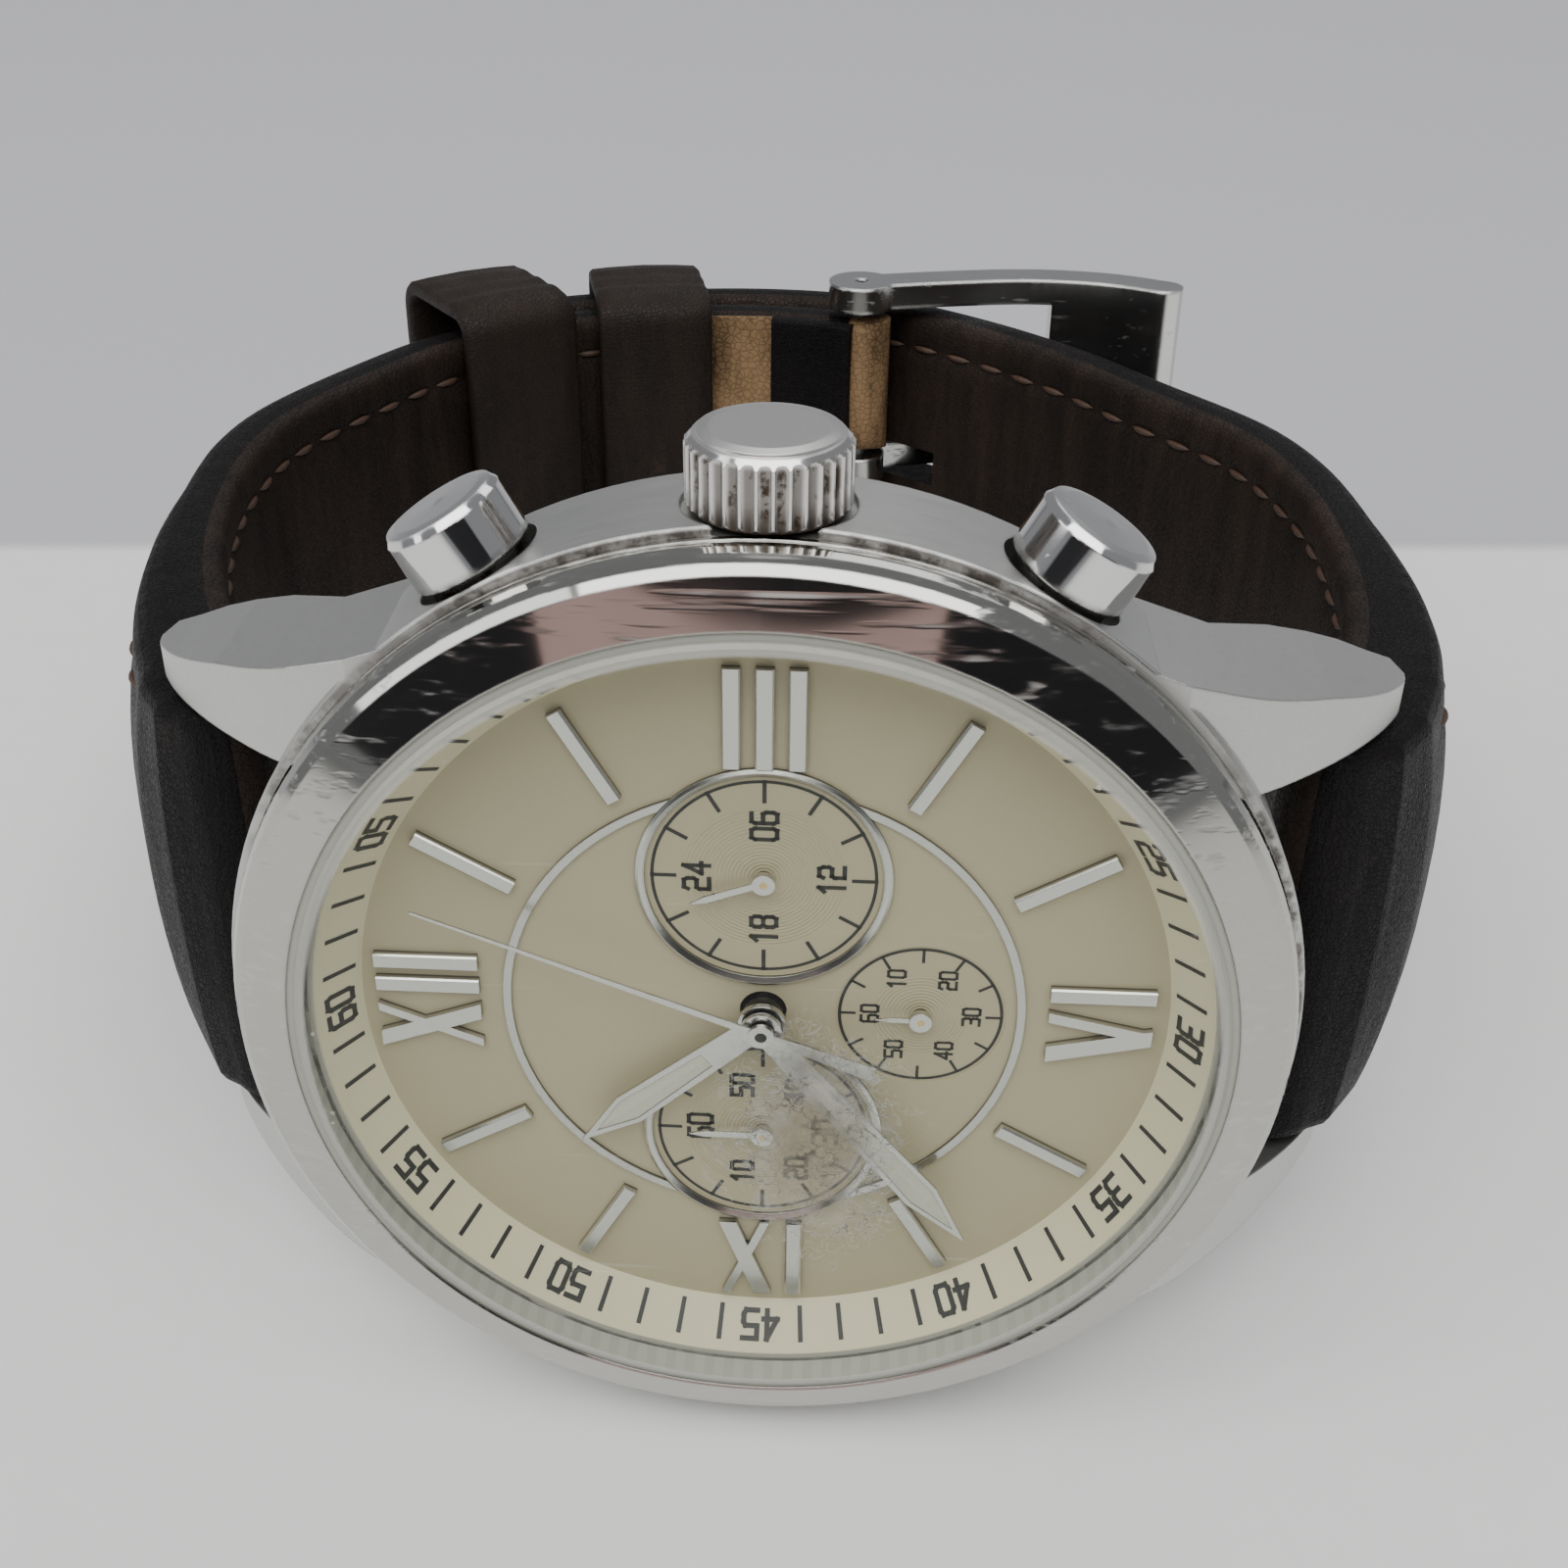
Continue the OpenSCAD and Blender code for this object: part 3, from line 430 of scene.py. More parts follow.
simple("gilt_brass", (0.55, 0.40, 0.17), (0.78, 0.60, 0.30), 1.0, 0.22, 900.0, 0.01, (8, 1, 0.6),
       "main_plate", "sliding_pinion", "small_seconds_wheel", "day_wheel", "chrono_minutes_wheel")
simple("brushed_bridge", (0.45, 0.45, 0.45), (0.62, 0.62, 0.62), 1.0, 0.25, 700.0, 0.008, (9, 1, 0.6),
       "train_bridge", "battery", "battery_clamp", "quartz_can")
simple("copper_wire", (0.40, 0.14, 0.06), (0.72, 0.32, 0.15), 1.0, 0.2, 500.0, 0.05, (0.5, 0.5, 10),
       "motor_coil")
simple("green_board", (0.006, 0.05, 0.02), (0.02, 0.14, 0.06), 0.0, 0.3, 600.0, 0.03, (1.5, 1, 1.5),
       "circuit_board")
simple("nylon_ring", (0.70, 0.68, 0.62), (0.80, 0.78, 0.72), 0.0, 0.45, 900.0, 0.02, (1, 1, 1),
       "movement_ring")
simple("rubber_seal", (0.008, 0.008, 0.008), (0.03, 0.03, 0.03), 0.0, 0.6, 1200.0, 0.02, (2, 2, 2),
       "back_gasket", "crown_gasket")
simple("glass_seal", (0.38, 0.38, 0.33), (0.42, 0.42, 0.37), 0.0, 0.4, 600.0, 0.004, (2, 2, 2),
       "glass_gasket")

# %% [markdown]
# ## Scuffed glass
# Real glass could be a refracting shader, but then light reaches the dial only as noisy caustics. A thin
# pane does the same job cleaner: let everything through, and add a mirror layer by Fresnel on the outer
# face only, because from inside Fresnel would turn the pane into a full mirror at a slant. Beside the
# middle of the dial the glass is crazed: a cloudy patch with worm-like cracks, which come from the borders
# of distorted cells.
# %% Glass finish
RIM_TONE = (0.40, 0.40, 0.35)
PATCH_LEFT, PATCH_DOWN = 4.9, 2.4      # how far the crazed patch lies to nine and to six o'clock, in mm
PATCH_SCALE = (0.19, 0.30)      # one over its half width and half height
f = Finish("scuffed_glass")
h, v, d = head_place(f)
wander = f.noise(520.0, 4.0)
oval = ((h + PATCH_LEFT) * PATCH_SCALE[0]) ** 2.0 + ((v + PATCH_DOWN) * PATCH_SCALE[1]) ** 2.0
off_patch = oval.math("SQRT") + (wander - 0.5) * 1.1
cloudy = 1 - off_patch.between(0.35, 1.0)
fringe = 1 - off_patch.between(0.85, 1.5)
bent = [way * 1.9 + (f.noise(scale, 3.0) - 0.5) * 3.2 for way, scale in ((h, 1100.0), (v, 1250.0))]
bent = f.vector(*bent, 0.0)
cells = f.node("ShaderNodeTexVoronoi", {"feature": "DISTANCE_TO_EDGE"}, {"Vector": bent, "Scale": 1.0})
cracks = (1 - cells.between(0.0, 0.07)) * fringe * f.noise(600.0, 2.0).between(0.44, 0.54)
scratches = hairlines(f, 0.9)
radius = (h * h + v * v).math("SQRT")
rim = radius.between(18.5, 18.8)
chips = radius.between(18.0, 18.4) * f.noise(800.0, 2.0).between(0.70, 0.74)
haze = cloudy * f.noise(1500.0, 4.0).between(0.2, 0.75) * 0.6 + scratches * 0.10 + chips * 0.4
clear = f.node("ShaderNodeBsdfTransparent", {}, {"Color": (0.965, 0.975, 0.96, 1)})
worn_tone = f.mix(cloudy, (0.80, 0.80, 0.78), f.mix(wander, (0.20, 0.18, 0.13), (0.38, 0.34, 0.25)))
cracked_tone = f.mix(cracks, worn_tone, (0.07, 0.065, 0.05))
f.set(Base_Color=f.mix(rim, cracked_tone, RIM_TONE), Roughness=0.5)
mirror = f.node("ShaderNodeBsdfGlossy", {}, {"Color": (1, 1, 1, 1), "Roughness": 0.02,
                "Normal": f.bump(scratches + cloudy * wander, 0.01, 0.4)})
from_inside = f.node("ShaderNodeNewGeometry", {}, {}, "Backfacing")
shine = f.node("ShaderNodeFresnel", {}, {"IOR": 1.45}) * (1 - from_inside)
pane = f.node("ShaderNodeMixShader", {}, {0: shine * 0.4, 1: clear, 2: mirror})
worn = f.node("ShaderNodeMixShader", {}, {
    0: haze.math("MAXIMUM", cracks * 0.75).math("MAXIMUM", rim * 0.9), 1: pane,
    2: Value(f, f.surface.outputs[0])})
f.feed(f.tree.nodes["Material Output"].inputs["Surface"], worn)
dress(f, "glass")

# %% [markdown]
# ## Building meshes
# All our own pieces are lists of points and faces, already in the model's frame. This helper turns them
# into an object, gives it its finishes, smooths it, and lets it ride on its body.
# %% Mesh helper
def piece(name, body, points, faces, materials, kinds=None, smooth=True, sharp=40):
    mesh = bpy.data.meshes.new(name)
    mesh.from_pydata([tuple(p) for p in points], [], faces)
    for material in materials:
        mesh.materials.append(material.material)
    for i, polygon in enumerate(mesh.polygons):
        polygon.material_index = kinds[i] if kinds else 0
        polygon.use_smooth = smooth
    work = bmesh.new()
    work.from_mesh(mesh)
    bmesh.ops.remove_doubles(work, verts=work.verts, dist=1e-7)
    bmesh.ops.recalc_face_normals(work, faces=work.faces)
    for e in work.edges:
        if e.calc_face_angle(0) > math.radians(sharp):
            e.smooth = False
    work.to_mesh(mesh)
    work.free()
    made = add_object(name, mesh)
    if body:
        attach(made, body)
    print(name, len(mesh.vertices), "points on", body)
    return made


# %% [markdown]
# ## Dial printing
# The tracks and figures are pad printed in black, a few hundredths of a millimetre proud of the lacquer.
# The figures are squarish, so each one is drawn from strokes on a small grid, as a seven-bar display is,
# with cut corners. Only generic minute and hour figures are printed.
# %% Figures from strokes
ink = Finish("printing_ink")
f = ink
thin = f.noise(4000.0, 3.0)
f.set(Base_Color=f.mix(thin, (0.010, 0.010, 0.009), (0.028, 0.027, 0.024)), Roughness=0.35 + thin * 0.2,
      Normal=f.bump(thin, 0.004, 0.4))

STROKES = {
    "0": [[(0, .15), (0, .85), (.15, 1), (.85, 1), (1, .85), (1, .15), (.85, 0), (.15, 0), (0, .15)]],
    "1": [[(.15, .8), (.55, 1), (.55, 0)]],
    "2": [[(0, .85), (.15, 1), (.85, 1), (1, .85), (1, .62), (.85, .5), (.15, .5), (0, .38), (0, 0),
           (1, 0)]],
    "3": [[(0, 1), (.85, 1), (1, .85), (1, .62), (.85, .5), (.3, .5)],
          [(.85, .5), (1, .38), (1, .15), (.85, 0), (0, 0)]],
    "4": [[(.75, 0), (.75, 1), (0, .3), (1, .3)]],
    "5": [[(1, 1), (0, 1), (0, .55), (.85, .55), (1, .42), (1, .15), (.85, 0), (0, 0)]],
    "6": [[(.9, 1), (.15, 1), (0, .85), (0, .15), (.15, 0), (.85, 0), (1, .15), (1, .42), (.85, .55),
           (0, .55)]],
    "8": [[(.15, .52), (0, .66), (0, .85), (.15, 1), (.85, 1), (1, .85), (1, .66), (.85, .52), (.15, .52),
           (0, .38), (0, .15), (.15, 0), (.85, 0), (1, .15), (1, .38), (.85, .52)]],
}


class Print:
    """Collects flat ink shapes. lay turns a flat point into a place in the model."""

    def __init__(self):
        self.points, self.faces = [], []

    def shape(self, outline, lay):
        start = len(self.points)
        self.points += [lay(*p) for p in outline]
        self.faces.append(list(range(start, start + len(outline))))

    def stroke(self, a, b, width, lay):
        (ax, ay), (bx, by) = a, b
        length = math.hypot(bx - ax, by - ay)
        ux, uy = (bx - ax) / length * width / 2, (by - ay) / length * width / 2
        self.shape([(ax - ux - uy, ay - uy + ux), (ax - ux + uy, ay - uy - ux), (bx + ux + uy, by + uy - ux),
                    (bx + ux - uy, by + uy + ux)], lay)

    def figures(self, text, middle, height, weight, lay):
        wide, gap = height * 0.50, height * 0.24
        total = len(text) * wide + (len(text) - 1) * gap
        for i, sign in enumerate(text):
            left = -total / 2 + i * (wide + gap)
            for line in STROKES[sign]:
                spots = [(middle[0] + left + x * wide, middle[1] + (y - 0.5) * height) for x, y in line]
                for a, b in zip(spots, spots[1:]):
                    self.stroke(a, b, weight, lay)

    def circle(self, middle, radius, width, lay, steps=120):
        for i in range(steps):
            a, b = (2 * math.pi * k / steps for k in (i, i + 1))
            low, high = radius - width / 2, radius + width / 2
            corners = ((low, a), (high, a), (high, b), (low, b))
            self.shape([(middle[0] + r * math.cos(t), middle[1] + r * math.sin(t)) for r, t in corners], lay)


# %% Print the counters
COUNTER_FACE = -0.66 + 0.012
TICKS = 12
SMALL_FIGURES = 2.15      # radius of the small seconds' figures


def on_counter(x, y):
    """A flat point on the counters' sunken faces."""
    return head(x, y, COUNTER_FACE)


track = Print()
SCALES = ((4.56, 3.65, 0.17), (4.56, 3.65, 0.17), (3.42, 2.8, 0.13))      # ring, tick's start, tick's width
for (cx, cy, _), (ring, tick_in, tick_w) in zip(COUNTERS, SCALES):
    track.circle((cx, cy), ring, 0.14, on_counter)
    for k in range(TICKS):
        c, s = math.cos(2 * math.pi * k / TICKS), math.sin(2 * math.pi * k / TICKS)
        inner, outer = (cx + c * tick_in, cy + s * tick_in), (cx + c * ring, cy + s * ring)
        track.stroke(inner, outer, tick_w, on_counter)
COUNTER_FIGURES = (("24", 6.7, 2.75, .95), ("12", 6.7, -2.75, .95), ("18", 4.15, 0, .95),
                   ("06", 9.2, 0, .95), ("60", -6.6, 2.75, .95), ("10", -9.2, 0.9, .85),
                   ("20", -8.9, -1.5, .85), ("30", -6.7, -2.75, .95), ("40", -4.4, -1.5, .85),
                   ("50", -4.2, 0.9, .85))      # text, h, v and height
for text, x, y, height in COUNTER_FIGURES:
    track.figures(text, (x, y), height * 1.08, 0.19, on_counter)
for k, text in enumerate(("60", "10", "20", "30", "40", "50")):
    a = math.radians(90 - 60 * k)
    spot = (SMALL_FIGURES * math.cos(a), COUNTERS[2][1] + SMALL_FIGURES * math.sin(a))
    track.figures(text, spot, 0.70, 0.13, on_counter)
piece("counter_print", "case", track.points, track.faces, [ink], smooth=False)

# %% [markdown]
# The minute ring is a cone, so its printing is drawn flat first, as (distance along the ring, distance up
# the slope), and then wrapped onto the cone.
# %% Print the minute ring
SLOPE_LOW, SLOPE_HIGH = (17.06, -0.6), (18.62, 1.35)
climb = [high - low for low, high in zip(SLOPE_LOW, SLOPE_HIGH)]
SLOPE = math.hypot(*climb)
RISE = (climb[0] / SLOPE, climb[1] / SLOPE)
INK_LIFT = 0.02
MIDWAY = 17.84


def on_slope(turn):
    """Wraps flat points round the cone, with x to the right of a figure seen from the middle."""
    def lay(x, y):
        along = y + SLOPE / 2
        r = SLOPE_LOW[0] + RISE[0] * along - RISE[1] * INK_LIFT
        d = SLOPE_LOW[1] + RISE[1] * along + RISE[0] * INK_LIFT
        a = math.pi / 2 - turn - x / MIDWAY
        return head(r * math.cos(a), r * math.sin(a), d)
    return lay


minutes = Print()
for m in range(60):
    lay = on_slope(2 * math.pi * m / 60)
    if m % 5:
        minutes.stroke((0, -0.32 * SLOPE), (0, 0.26 * SLOPE), 0.22, lay)
    else:
        minutes.figures(f"{m or 60:02d}", (0, -0.03), 1.28, 0.25, lay)
piece("minute_print", "case", minutes.points, minutes.faces, [ink], smooth=False)

# %% [markdown]
# ## Inlays
# The hour and minute hands are skeleton frames filled with pale luminous paint, which sits a little
# below the frame and is slightly crowned. Each inlay follows its own hand's body.
# %% Inlays
HAND_RIM, BORDER, INLAY_ROOT = 0.24, 0.1, 3.12
lume = Finish("hand_inlay")
f = lume
grain = f.noise(5000.0, 3.0)
f.set(Base_Color=f.mix(grain, (0.50, 0.48, 0.40), (0.62, 0.60, 0.51)), Roughness=0.4 + grain * 0.2,
      Normal=f.bump(grain, 0.01, 0.5))


def window(root, tip, wide_at, half_root, half_wide):
    """The outline of a lance hand's window, pointed at its tip."""
    return [(root, -half_root), (wide_at, -half_wide), (tip, 0), (wide_at, half_wide), (root, half_root)]


def inlay(name, body, turn_deg, level, length, root_w, wide_at, wide_w):
    """Fills a lance hand's window with a low roof of paint, over a dark border that shows round it."""
    a = math.radians(90 - turn_deg)

    def at(x, y, d):
        return head(x * math.cos(a) - y * math.sin(a), x * math.sin(a) + y * math.cos(a), d)

    tip = length - 0.95
    half_root, half_wide = root_w / 2 - HAND_RIM, wide_w / 2 - HAND_RIM
    edge = window(INLAY_ROOT, tip, wide_at, half_root, half_wide)
    spine = [(INLAY_ROOT, 0), (wide_at, 0), (tip, 0)]
    border = window(INLAY_ROOT - 0.12, tip + 0.25, wide_at, half_root + BORDER, half_wide + BORDER)
    points = [at(x, y, level) for x, y in edge] + [at(x, y, level + 0.03) for x, y in spine]
    points += [at(x, y, level - 0.012) for x, y in border]
    faces = [(0, 1, 6, 5), (1, 2, 7, 6), (2, 3, 6, 7), (3, 4, 5, 6), (8, 9, 10, 11, 12)]
    piece(name, body, points, faces, [lume, ink], [0, 0, 0, 0, 1], smooth=False)


inlay("hour_inlay", "hour_train", 319.3, 0.25 + 0.12, 10.4, 1.2, 7.6, 1.62)
inlay("minute_inlay", "minute_train", 231.6, 0.66 + 0.12, 14.7, 1.05, 11.4, 1.6)

# %% [markdown]
# ## Leather
# Three leathers: black top grain outside, a dark brown lining inside, and raw tan fibre where an edge has
# worn through. Grain is a cell pattern whose borders sink, over softer creases. Wear lightens the ridges.
# %% Leather finishes
def leather(name, low, high, rough, grain_scale, depth_mm, scuff, scuff_colour, gloss=0.2):
    f = Finish(name, Specular_IOR_Level=gloss)
    cells = f.node("ShaderNodeTexVoronoi", {"feature": "DISTANCE_TO_EDGE"}, {
        "Vector": f.place, "Scale": grain_scale, "Randomness": 1.0})
    pores = cells.between(0.0, 0.16)
    crease = f.noise(420.0, 6.0, 0.65)
    stretched = f.vector(*(f.along(a) * s for a, s in zip(LOOP_WAYS, (0.55, 0.55, 0.10))))
    tone = (f.noise(90.0, 4.0) * 0.4 + f.noise(1.0, 5.0, 0.65, stretched) * 0.6).between(0.36, 0.64)
    worn = f.noise(380.0, 6.0, 0.7).between(0.60, 0.74) * scuff
    f.set(Base_Color=f.mix(worn, f.mix(tone * 0.7 + pores * 0.3, low, high), scuff_colour),
          Roughness=rough + (1 - pores) * 0.15 + worn * 0.15,
          Normal=f.bump(pores * 0.3 + crease * 1.6 + tone * 0.5, depth_mm, 0.8))
    return f


black_leather = leather("black_top_grain", (0.004, 0.0035, 0.004), (0.009, 0.0075, 0.0075), 0.40, 4200.0,
                        0.15, 0.30, (0.034, 0.025, 0.020), 0.10)
brown_lining = leather("brown_lining", (0.006, 0.004, 0.003), (0.027, 0.017, 0.012), 0.55, 3000.0,
                       0.13, 0.30, (0.055, 0.033, 0.022))
keeper_leather = leather("keeper_leather", (0.010, 0.0075, 0.006), (0.024, 0.016, 0.012), 0.5, 3600.0,
                         0.10, 0.45, (0.05, 0.033, 0.022))
raw_edge = leather("raw_tan_edge", (0.05, 0.028, 0.014), (0.30, 0.19, 0.095), 0.7, 2400.0, 0.08, 0.6,
                   (0.42, 0.31, 0.18))
thread = Finish("waxed_thread")
f = thread
twist = f.noise(3000.0, 2.0)
f.set(Base_Color=f.mix(twist, (0.035, 0.018, 0.011), (0.09, 0.048, 0.029)), Roughness=0.5 + twist * 0.2,
      Normal=f.bump(twist, 0.03, 0.6))

# %% [markdown]
# ## The strap's path
# A strap is a long strip that is bent in one plane only, so it is built like a rail: a smooth line through
# a few knots, and at each station a cross-section that says how thick and how domed the leather is there.
# %% Lines and sections
PIN_12, FLEX_12, BUCKLE_PIN = (-24.2, 7.9), (-27.4, 51.0), (3.0, 63.6)
PIN_6, FLEX_6 = (24.2, 7.9), (21.0, 51.0)
HALF_WIDTH = 10.7
ARM_LENGTH = 44.6
STITCH_INSET = 2.4
PAD_BULGE = 1.5


def curve_through(knots, steps):
    """Catmull-Rom points through the knots."""
    made = []
    for i in range(len(knots) - 1):
        a, b = Vector(knots[max(i - 1, 0)]), Vector(knots[i])
        c, e = Vector(knots[i + 1]), Vector(knots[min(i + 2, len(knots) - 1)])
        for k in range(steps):
            t = k / steps
            square, cube = 2 * a - 5 * b + 4 * c - e, 3 * b - a - 3 * c + e
            made.append(0.5 * (2 * b + (c - a) * t + square * t * t + cube * t ** 3))
    return made + [Vector(knots[-1])]


def lengths(line):
    """The distance along the line at each of its points."""
    total, made = 0.0, [0.0]
    for a, b in zip(line, line[1:]):
        total += (b - a).length
        made.append(total)
    return made


def side_of(line, i, out):
    """Unit vector from the strap's middle to its outer face."""
    d = (line[min(i + 1, len(line) - 1)] - line[max(i - 1, 0)]).normalized()
    return Vector((-d.y, d.x)) * out


STATIONS = (0, .18, .36, .52, .64, .72, .765, .79, .815, .86, .91, .95)
EDGE_ANGLES = [math.radians(x) for x in (66, 44, 22, 0, -22, -44, -66)]
EDGE_SHARE = STATIONS[-1]      # where the flat stations hand over to the round edge
LINING_FALL = 0.12
GROOVE_WIDTH = 0.42


def section(thick, half, dome, groove, middle=0.0, edge=0.85):
    """Points (z, t, kind) round one cross-section, with kind 0 on the outer leather and 1 on the lining."""
    flat = half - edge
    spots = [-s for s in reversed(STATIONS[1:])] + list(STATIONS)

    def sink(s):
        off = abs(s) * flat / EDGE_SHARE - (half - STITCH_INSET)
        return groove * math.exp(-(off / GROOVE_WIDTH) ** 2)

    def top(s):
        return thick / 2 - dome * abs(s) ** 2.4 - sink(s)

    def low(s):
        return -thick / 2 + LINING_FALL * abs(s) ** 3 + sink(s)

    def swell(x):
        return math.copysign(abs(x) ** 0.72, x)

    t_out, t_in = thick / 2 - dome, -thick / 2 + LINING_FALL
    mid, tall = (t_out + t_in) / 2, (t_out - t_in) / 2
    arc = [(edge * swell(math.cos(a)), mid + tall * swell(math.sin(a)), 0 if math.sin(a) > -0.1 else 1)
           for a in EDGE_ANGLES]
    ring = [(middle + s * flat / EDGE_SHARE, top(s), 0) for s in spots]
    ring += [(middle + flat + x, t, kind) for x, t, kind in arc]
    ring += [(middle - s * flat / EDGE_SHARE, low(s), 1) for s in spots]
    ring += [(middle - flat - x, t, kind) for x, t, kind in reversed(arc)]
    return ring


def band(start, rings, size, closed=False):
    """Faces between neighbouring rings of points, and from the last ring to the first when closed."""
    made = []
    for i in range(rings if closed else rings - 1):
        row, following = start + i * size, start + (i + 1) % rings * size
        for k in range(size):
            n = (k + 1) % size
            made.append((row + k, row + n, following + n, following + k))
    return made


def strip(name, body, line, out, sections, materials, worn_from=None):
    """Sweeps the sections along the line and closes both ends. Past worn_from it shows raw leather."""
    points, kinds = [], []
    size = len(sections[0])
    for i, (spot, ring) in enumerate(zip(line, sections)):
        side = side_of(line, i, out)
        for z, t, _ in ring:
            points.append(loop(*(spot + side * t), z))
    faces = band(0, len(line), size)
    for i in range(len(line) - 1):
        kinds += [kind if worn_from is None or i < worn_from else 2 for _, _, kind in sections[i]]
    for start in (0, (len(line) - 1) * size):
        centre = len(points)
        points.append(sum((points[start + k] for k in range(size)), Vector()) / size)
        faces += [(start + k, start + (k + 1) % size, centre) for k in range(size)]
        kinds += [0] * size
    return piece(name, body, points, faces, materials, kinds, sharp=70)


def rounded_start(line, radius, steps=5):
    """Extra points before a line's start, and the half thickness of a round end there."""
    back = (line[0] - line[1]).normalized()
    made = []
    for k in range(steps):
        angle = math.pi / 2 * (1 - k / steps)
        made.append((line[0] + back * radius * math.sin(angle), radius * math.cos(angle)))
    return made


def mix_to(a, b, share):
    """a at share 0 and b at share 1, and no further."""
    return a + (b - a) * max(0.0, min(1.0, share))


# %% [markdown]
# ## Twelve o'clock strap
# It starts round the lug's spring bar, thick and padded, thins towards the flat part, and ends in a fold
# round the buckle's bar. The fold is cut open in the middle for the tongue.
# %% Strap at twelve
BEND_12 = dict(start=tuple(loop(-29.2, 46.2)), end=tuple(loop(-25.2, 55.0)))
BEND_6 = dict(start=tuple(loop(18.7, 55.0)), end=tuple(loop(23.2, 47.0)))
line_12 = curve_through([PIN_12, (-26.4, 12.4), (-28.9, 18), (-31, 25.5), (-32, 34), (-31.3, 42), FLEX_12,
                         (-23.6, 57), (-17.5, 61.6), (-10.5, 64), (-3.5, 64.6), BUCKLE_PIN], 8)
run_12 = lengths(line_12)


PADDED, FLAT, THIN = 5.0, 3.4, 3.0      # thickness at the lug, along the arm and at the buckle
PAD_END, ARM_END, STRAP_END = 26.0, 44.0, 82.0      # end of the padding, start and end of the thinning


def thickness(run):
    """Leather thickness in mm at a distance along a strap from its lug."""
    if run < PAD_END:
        return mix_to(PADDED, FLAT, run / PAD_END)
    return mix_to(FLAT, THIN, (run - ARM_END) / (STRAP_END - ARM_END))


def doming(run):
    """How far the outer face falls away at the strap's edges, in mm."""
    return mix_to(1.25, 0.22, (run - 8) / 22) * mix_to(0.4, 1, run / 4)


def padding(run):
    """Extra leather on the outer face close to the lug, where the strap bulges, in mm."""
    return PAD_BULGE * mix_to(0, 1, (run + 2) / 5) * (1 - mix_to(0, 1, (run - 7) / 17))


def body_sections(line, runs):
    """Stations and sections of a strap with a round padded start."""
    stations, made = [], []
    for spot, half_t in rounded_start(line, PADDED / 2):
        share = half_t / (PADDED / 2)
        stations.append(spot)
        made.append(section(max(0.3, 2 * half_t), HALF_WIDTH - 0.25 * (1 - share), 0.35 * share, 0.0))
    for spot, run in zip(line, runs):
        stations.append(spot)
        extra = padding(run)
        ring = section(thickness(run) + extra, HALF_WIDTH, doming(run), mix_to(0.0, 0.22, (run - 4) / 3))
        made.append([(z, t + extra / 2, kind) for z, t, kind in ring])
    return stations, made


cut = next(i for i, p in enumerate(line_12) if p.x > 0.3 and p.y > 60)
stations, made = body_sections(line_12[:cut + 1], run_12)
strap_12 = strip("strap_12_leather", None, stations, 1, made, [black_leather, brown_lining])
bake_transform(strap_12)
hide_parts("strap_12_arm", "lining_12_arm", "strap_12_end", "lining_12_end")

# %% Fold round the buckle bar
FOLD_THICK = 4.2
GAP_HALF = 1.4      # half the tongue's opening in the fold
fold_line = line_12[cut:]
finish_line = list(reversed(rounded_start([fold_line[-1], fold_line[-2]], FOLD_THICK / 2)))
spots = fold_line + [p for p, _ in finish_line]
half = (HALF_WIDTH - GAP_HALF) / 2
fold_leathers = [black_leather, black_leather, raw_edge]
for sign, name in ((1, "upper"), (-1, "lower")):
    middle = sign * (GAP_HALF + half)
    swells = [mix_to(THIN, FOLD_THICK, i / (len(fold_line) - 1)) for i in range(len(fold_line))]
    rings = [section(swell, half, 0.15, 0.0, middle) for swell in swells]
    rings += [section(max(0.3, 2 * t), half, 0.1, 0.0, middle) for _, t in finish_line]
    strip(f"bar_fold_{name}", "clasp", spots, 1, rings, fold_leathers,
          worn_from=len(fold_line) - 2)

FLAP_STEPS = 6
flap_line = curve_through([(2.4, 61.55), (0.0, 62.35), (-3.0, 62.9), (-7.2, 62.85)], FLAP_STEPS)
skived = 2 * FLAP_STEPS      # the flap is pared thin over its last third
rings = [section(mix_to(1.15, 0.2, (i - skived) / FLAP_STEPS), HALF_WIDTH - 0.15, 0.0, 0.0, edge=0.4)
         for i in range(len(flap_line))]
strip("fold_back_flap", "clasp", flap_line, -1, rings, fold_leathers, worn_from=skived)

# %% [markdown]
# ## Six o'clock strap
# The long piece runs from the lug to its pointed tip, over the buckle bar and through both keepers. Its
# tip is rounded, so the half width shrinks there. The holes and the tongue's slot are cut with a boolean.
# %% Strap at six
line_6 = curve_through([PIN_6, (26.6, 12.4), (28.4, 18), (29.2, 25), (28.9, 34), (26.6, 43), FLEX_6,
                        (16.6, 57), (11, 62.6), (4.6, 67), (-2.5, 68.5), (-10.5, 67.8), (-18.8, 65),
                        (-24.6, 60.6)], 8)
run_6 = lengths(line_6)
TIP = 6.0      # length of the rounded tip, in mm
stations, made = body_sections(line_6, run_6)
first = len(stations) - len(line_6)
for i, run in enumerate(run_6):
    left = run_6[-1] - run
    if left < TIP:
        half = max(0.8, HALF_WIDTH * (1 - (1 - left / TIP) ** 2.4) ** 0.5)
        made[first + i] = section(mix_to(1.6, 3.0, left / 2.0), half, 0.2, 0.0, edge=min(0.85, half * 0.5))
strap_6 = strip("strap_6_leather", None, stations, -1, made, [black_leather, brown_lining])


HOLE_RADIUS, CUT_DEPTH = 0.9, 9
HOLES = (3.5, 27.5, 34.5)      # past the arm's end, along the strap


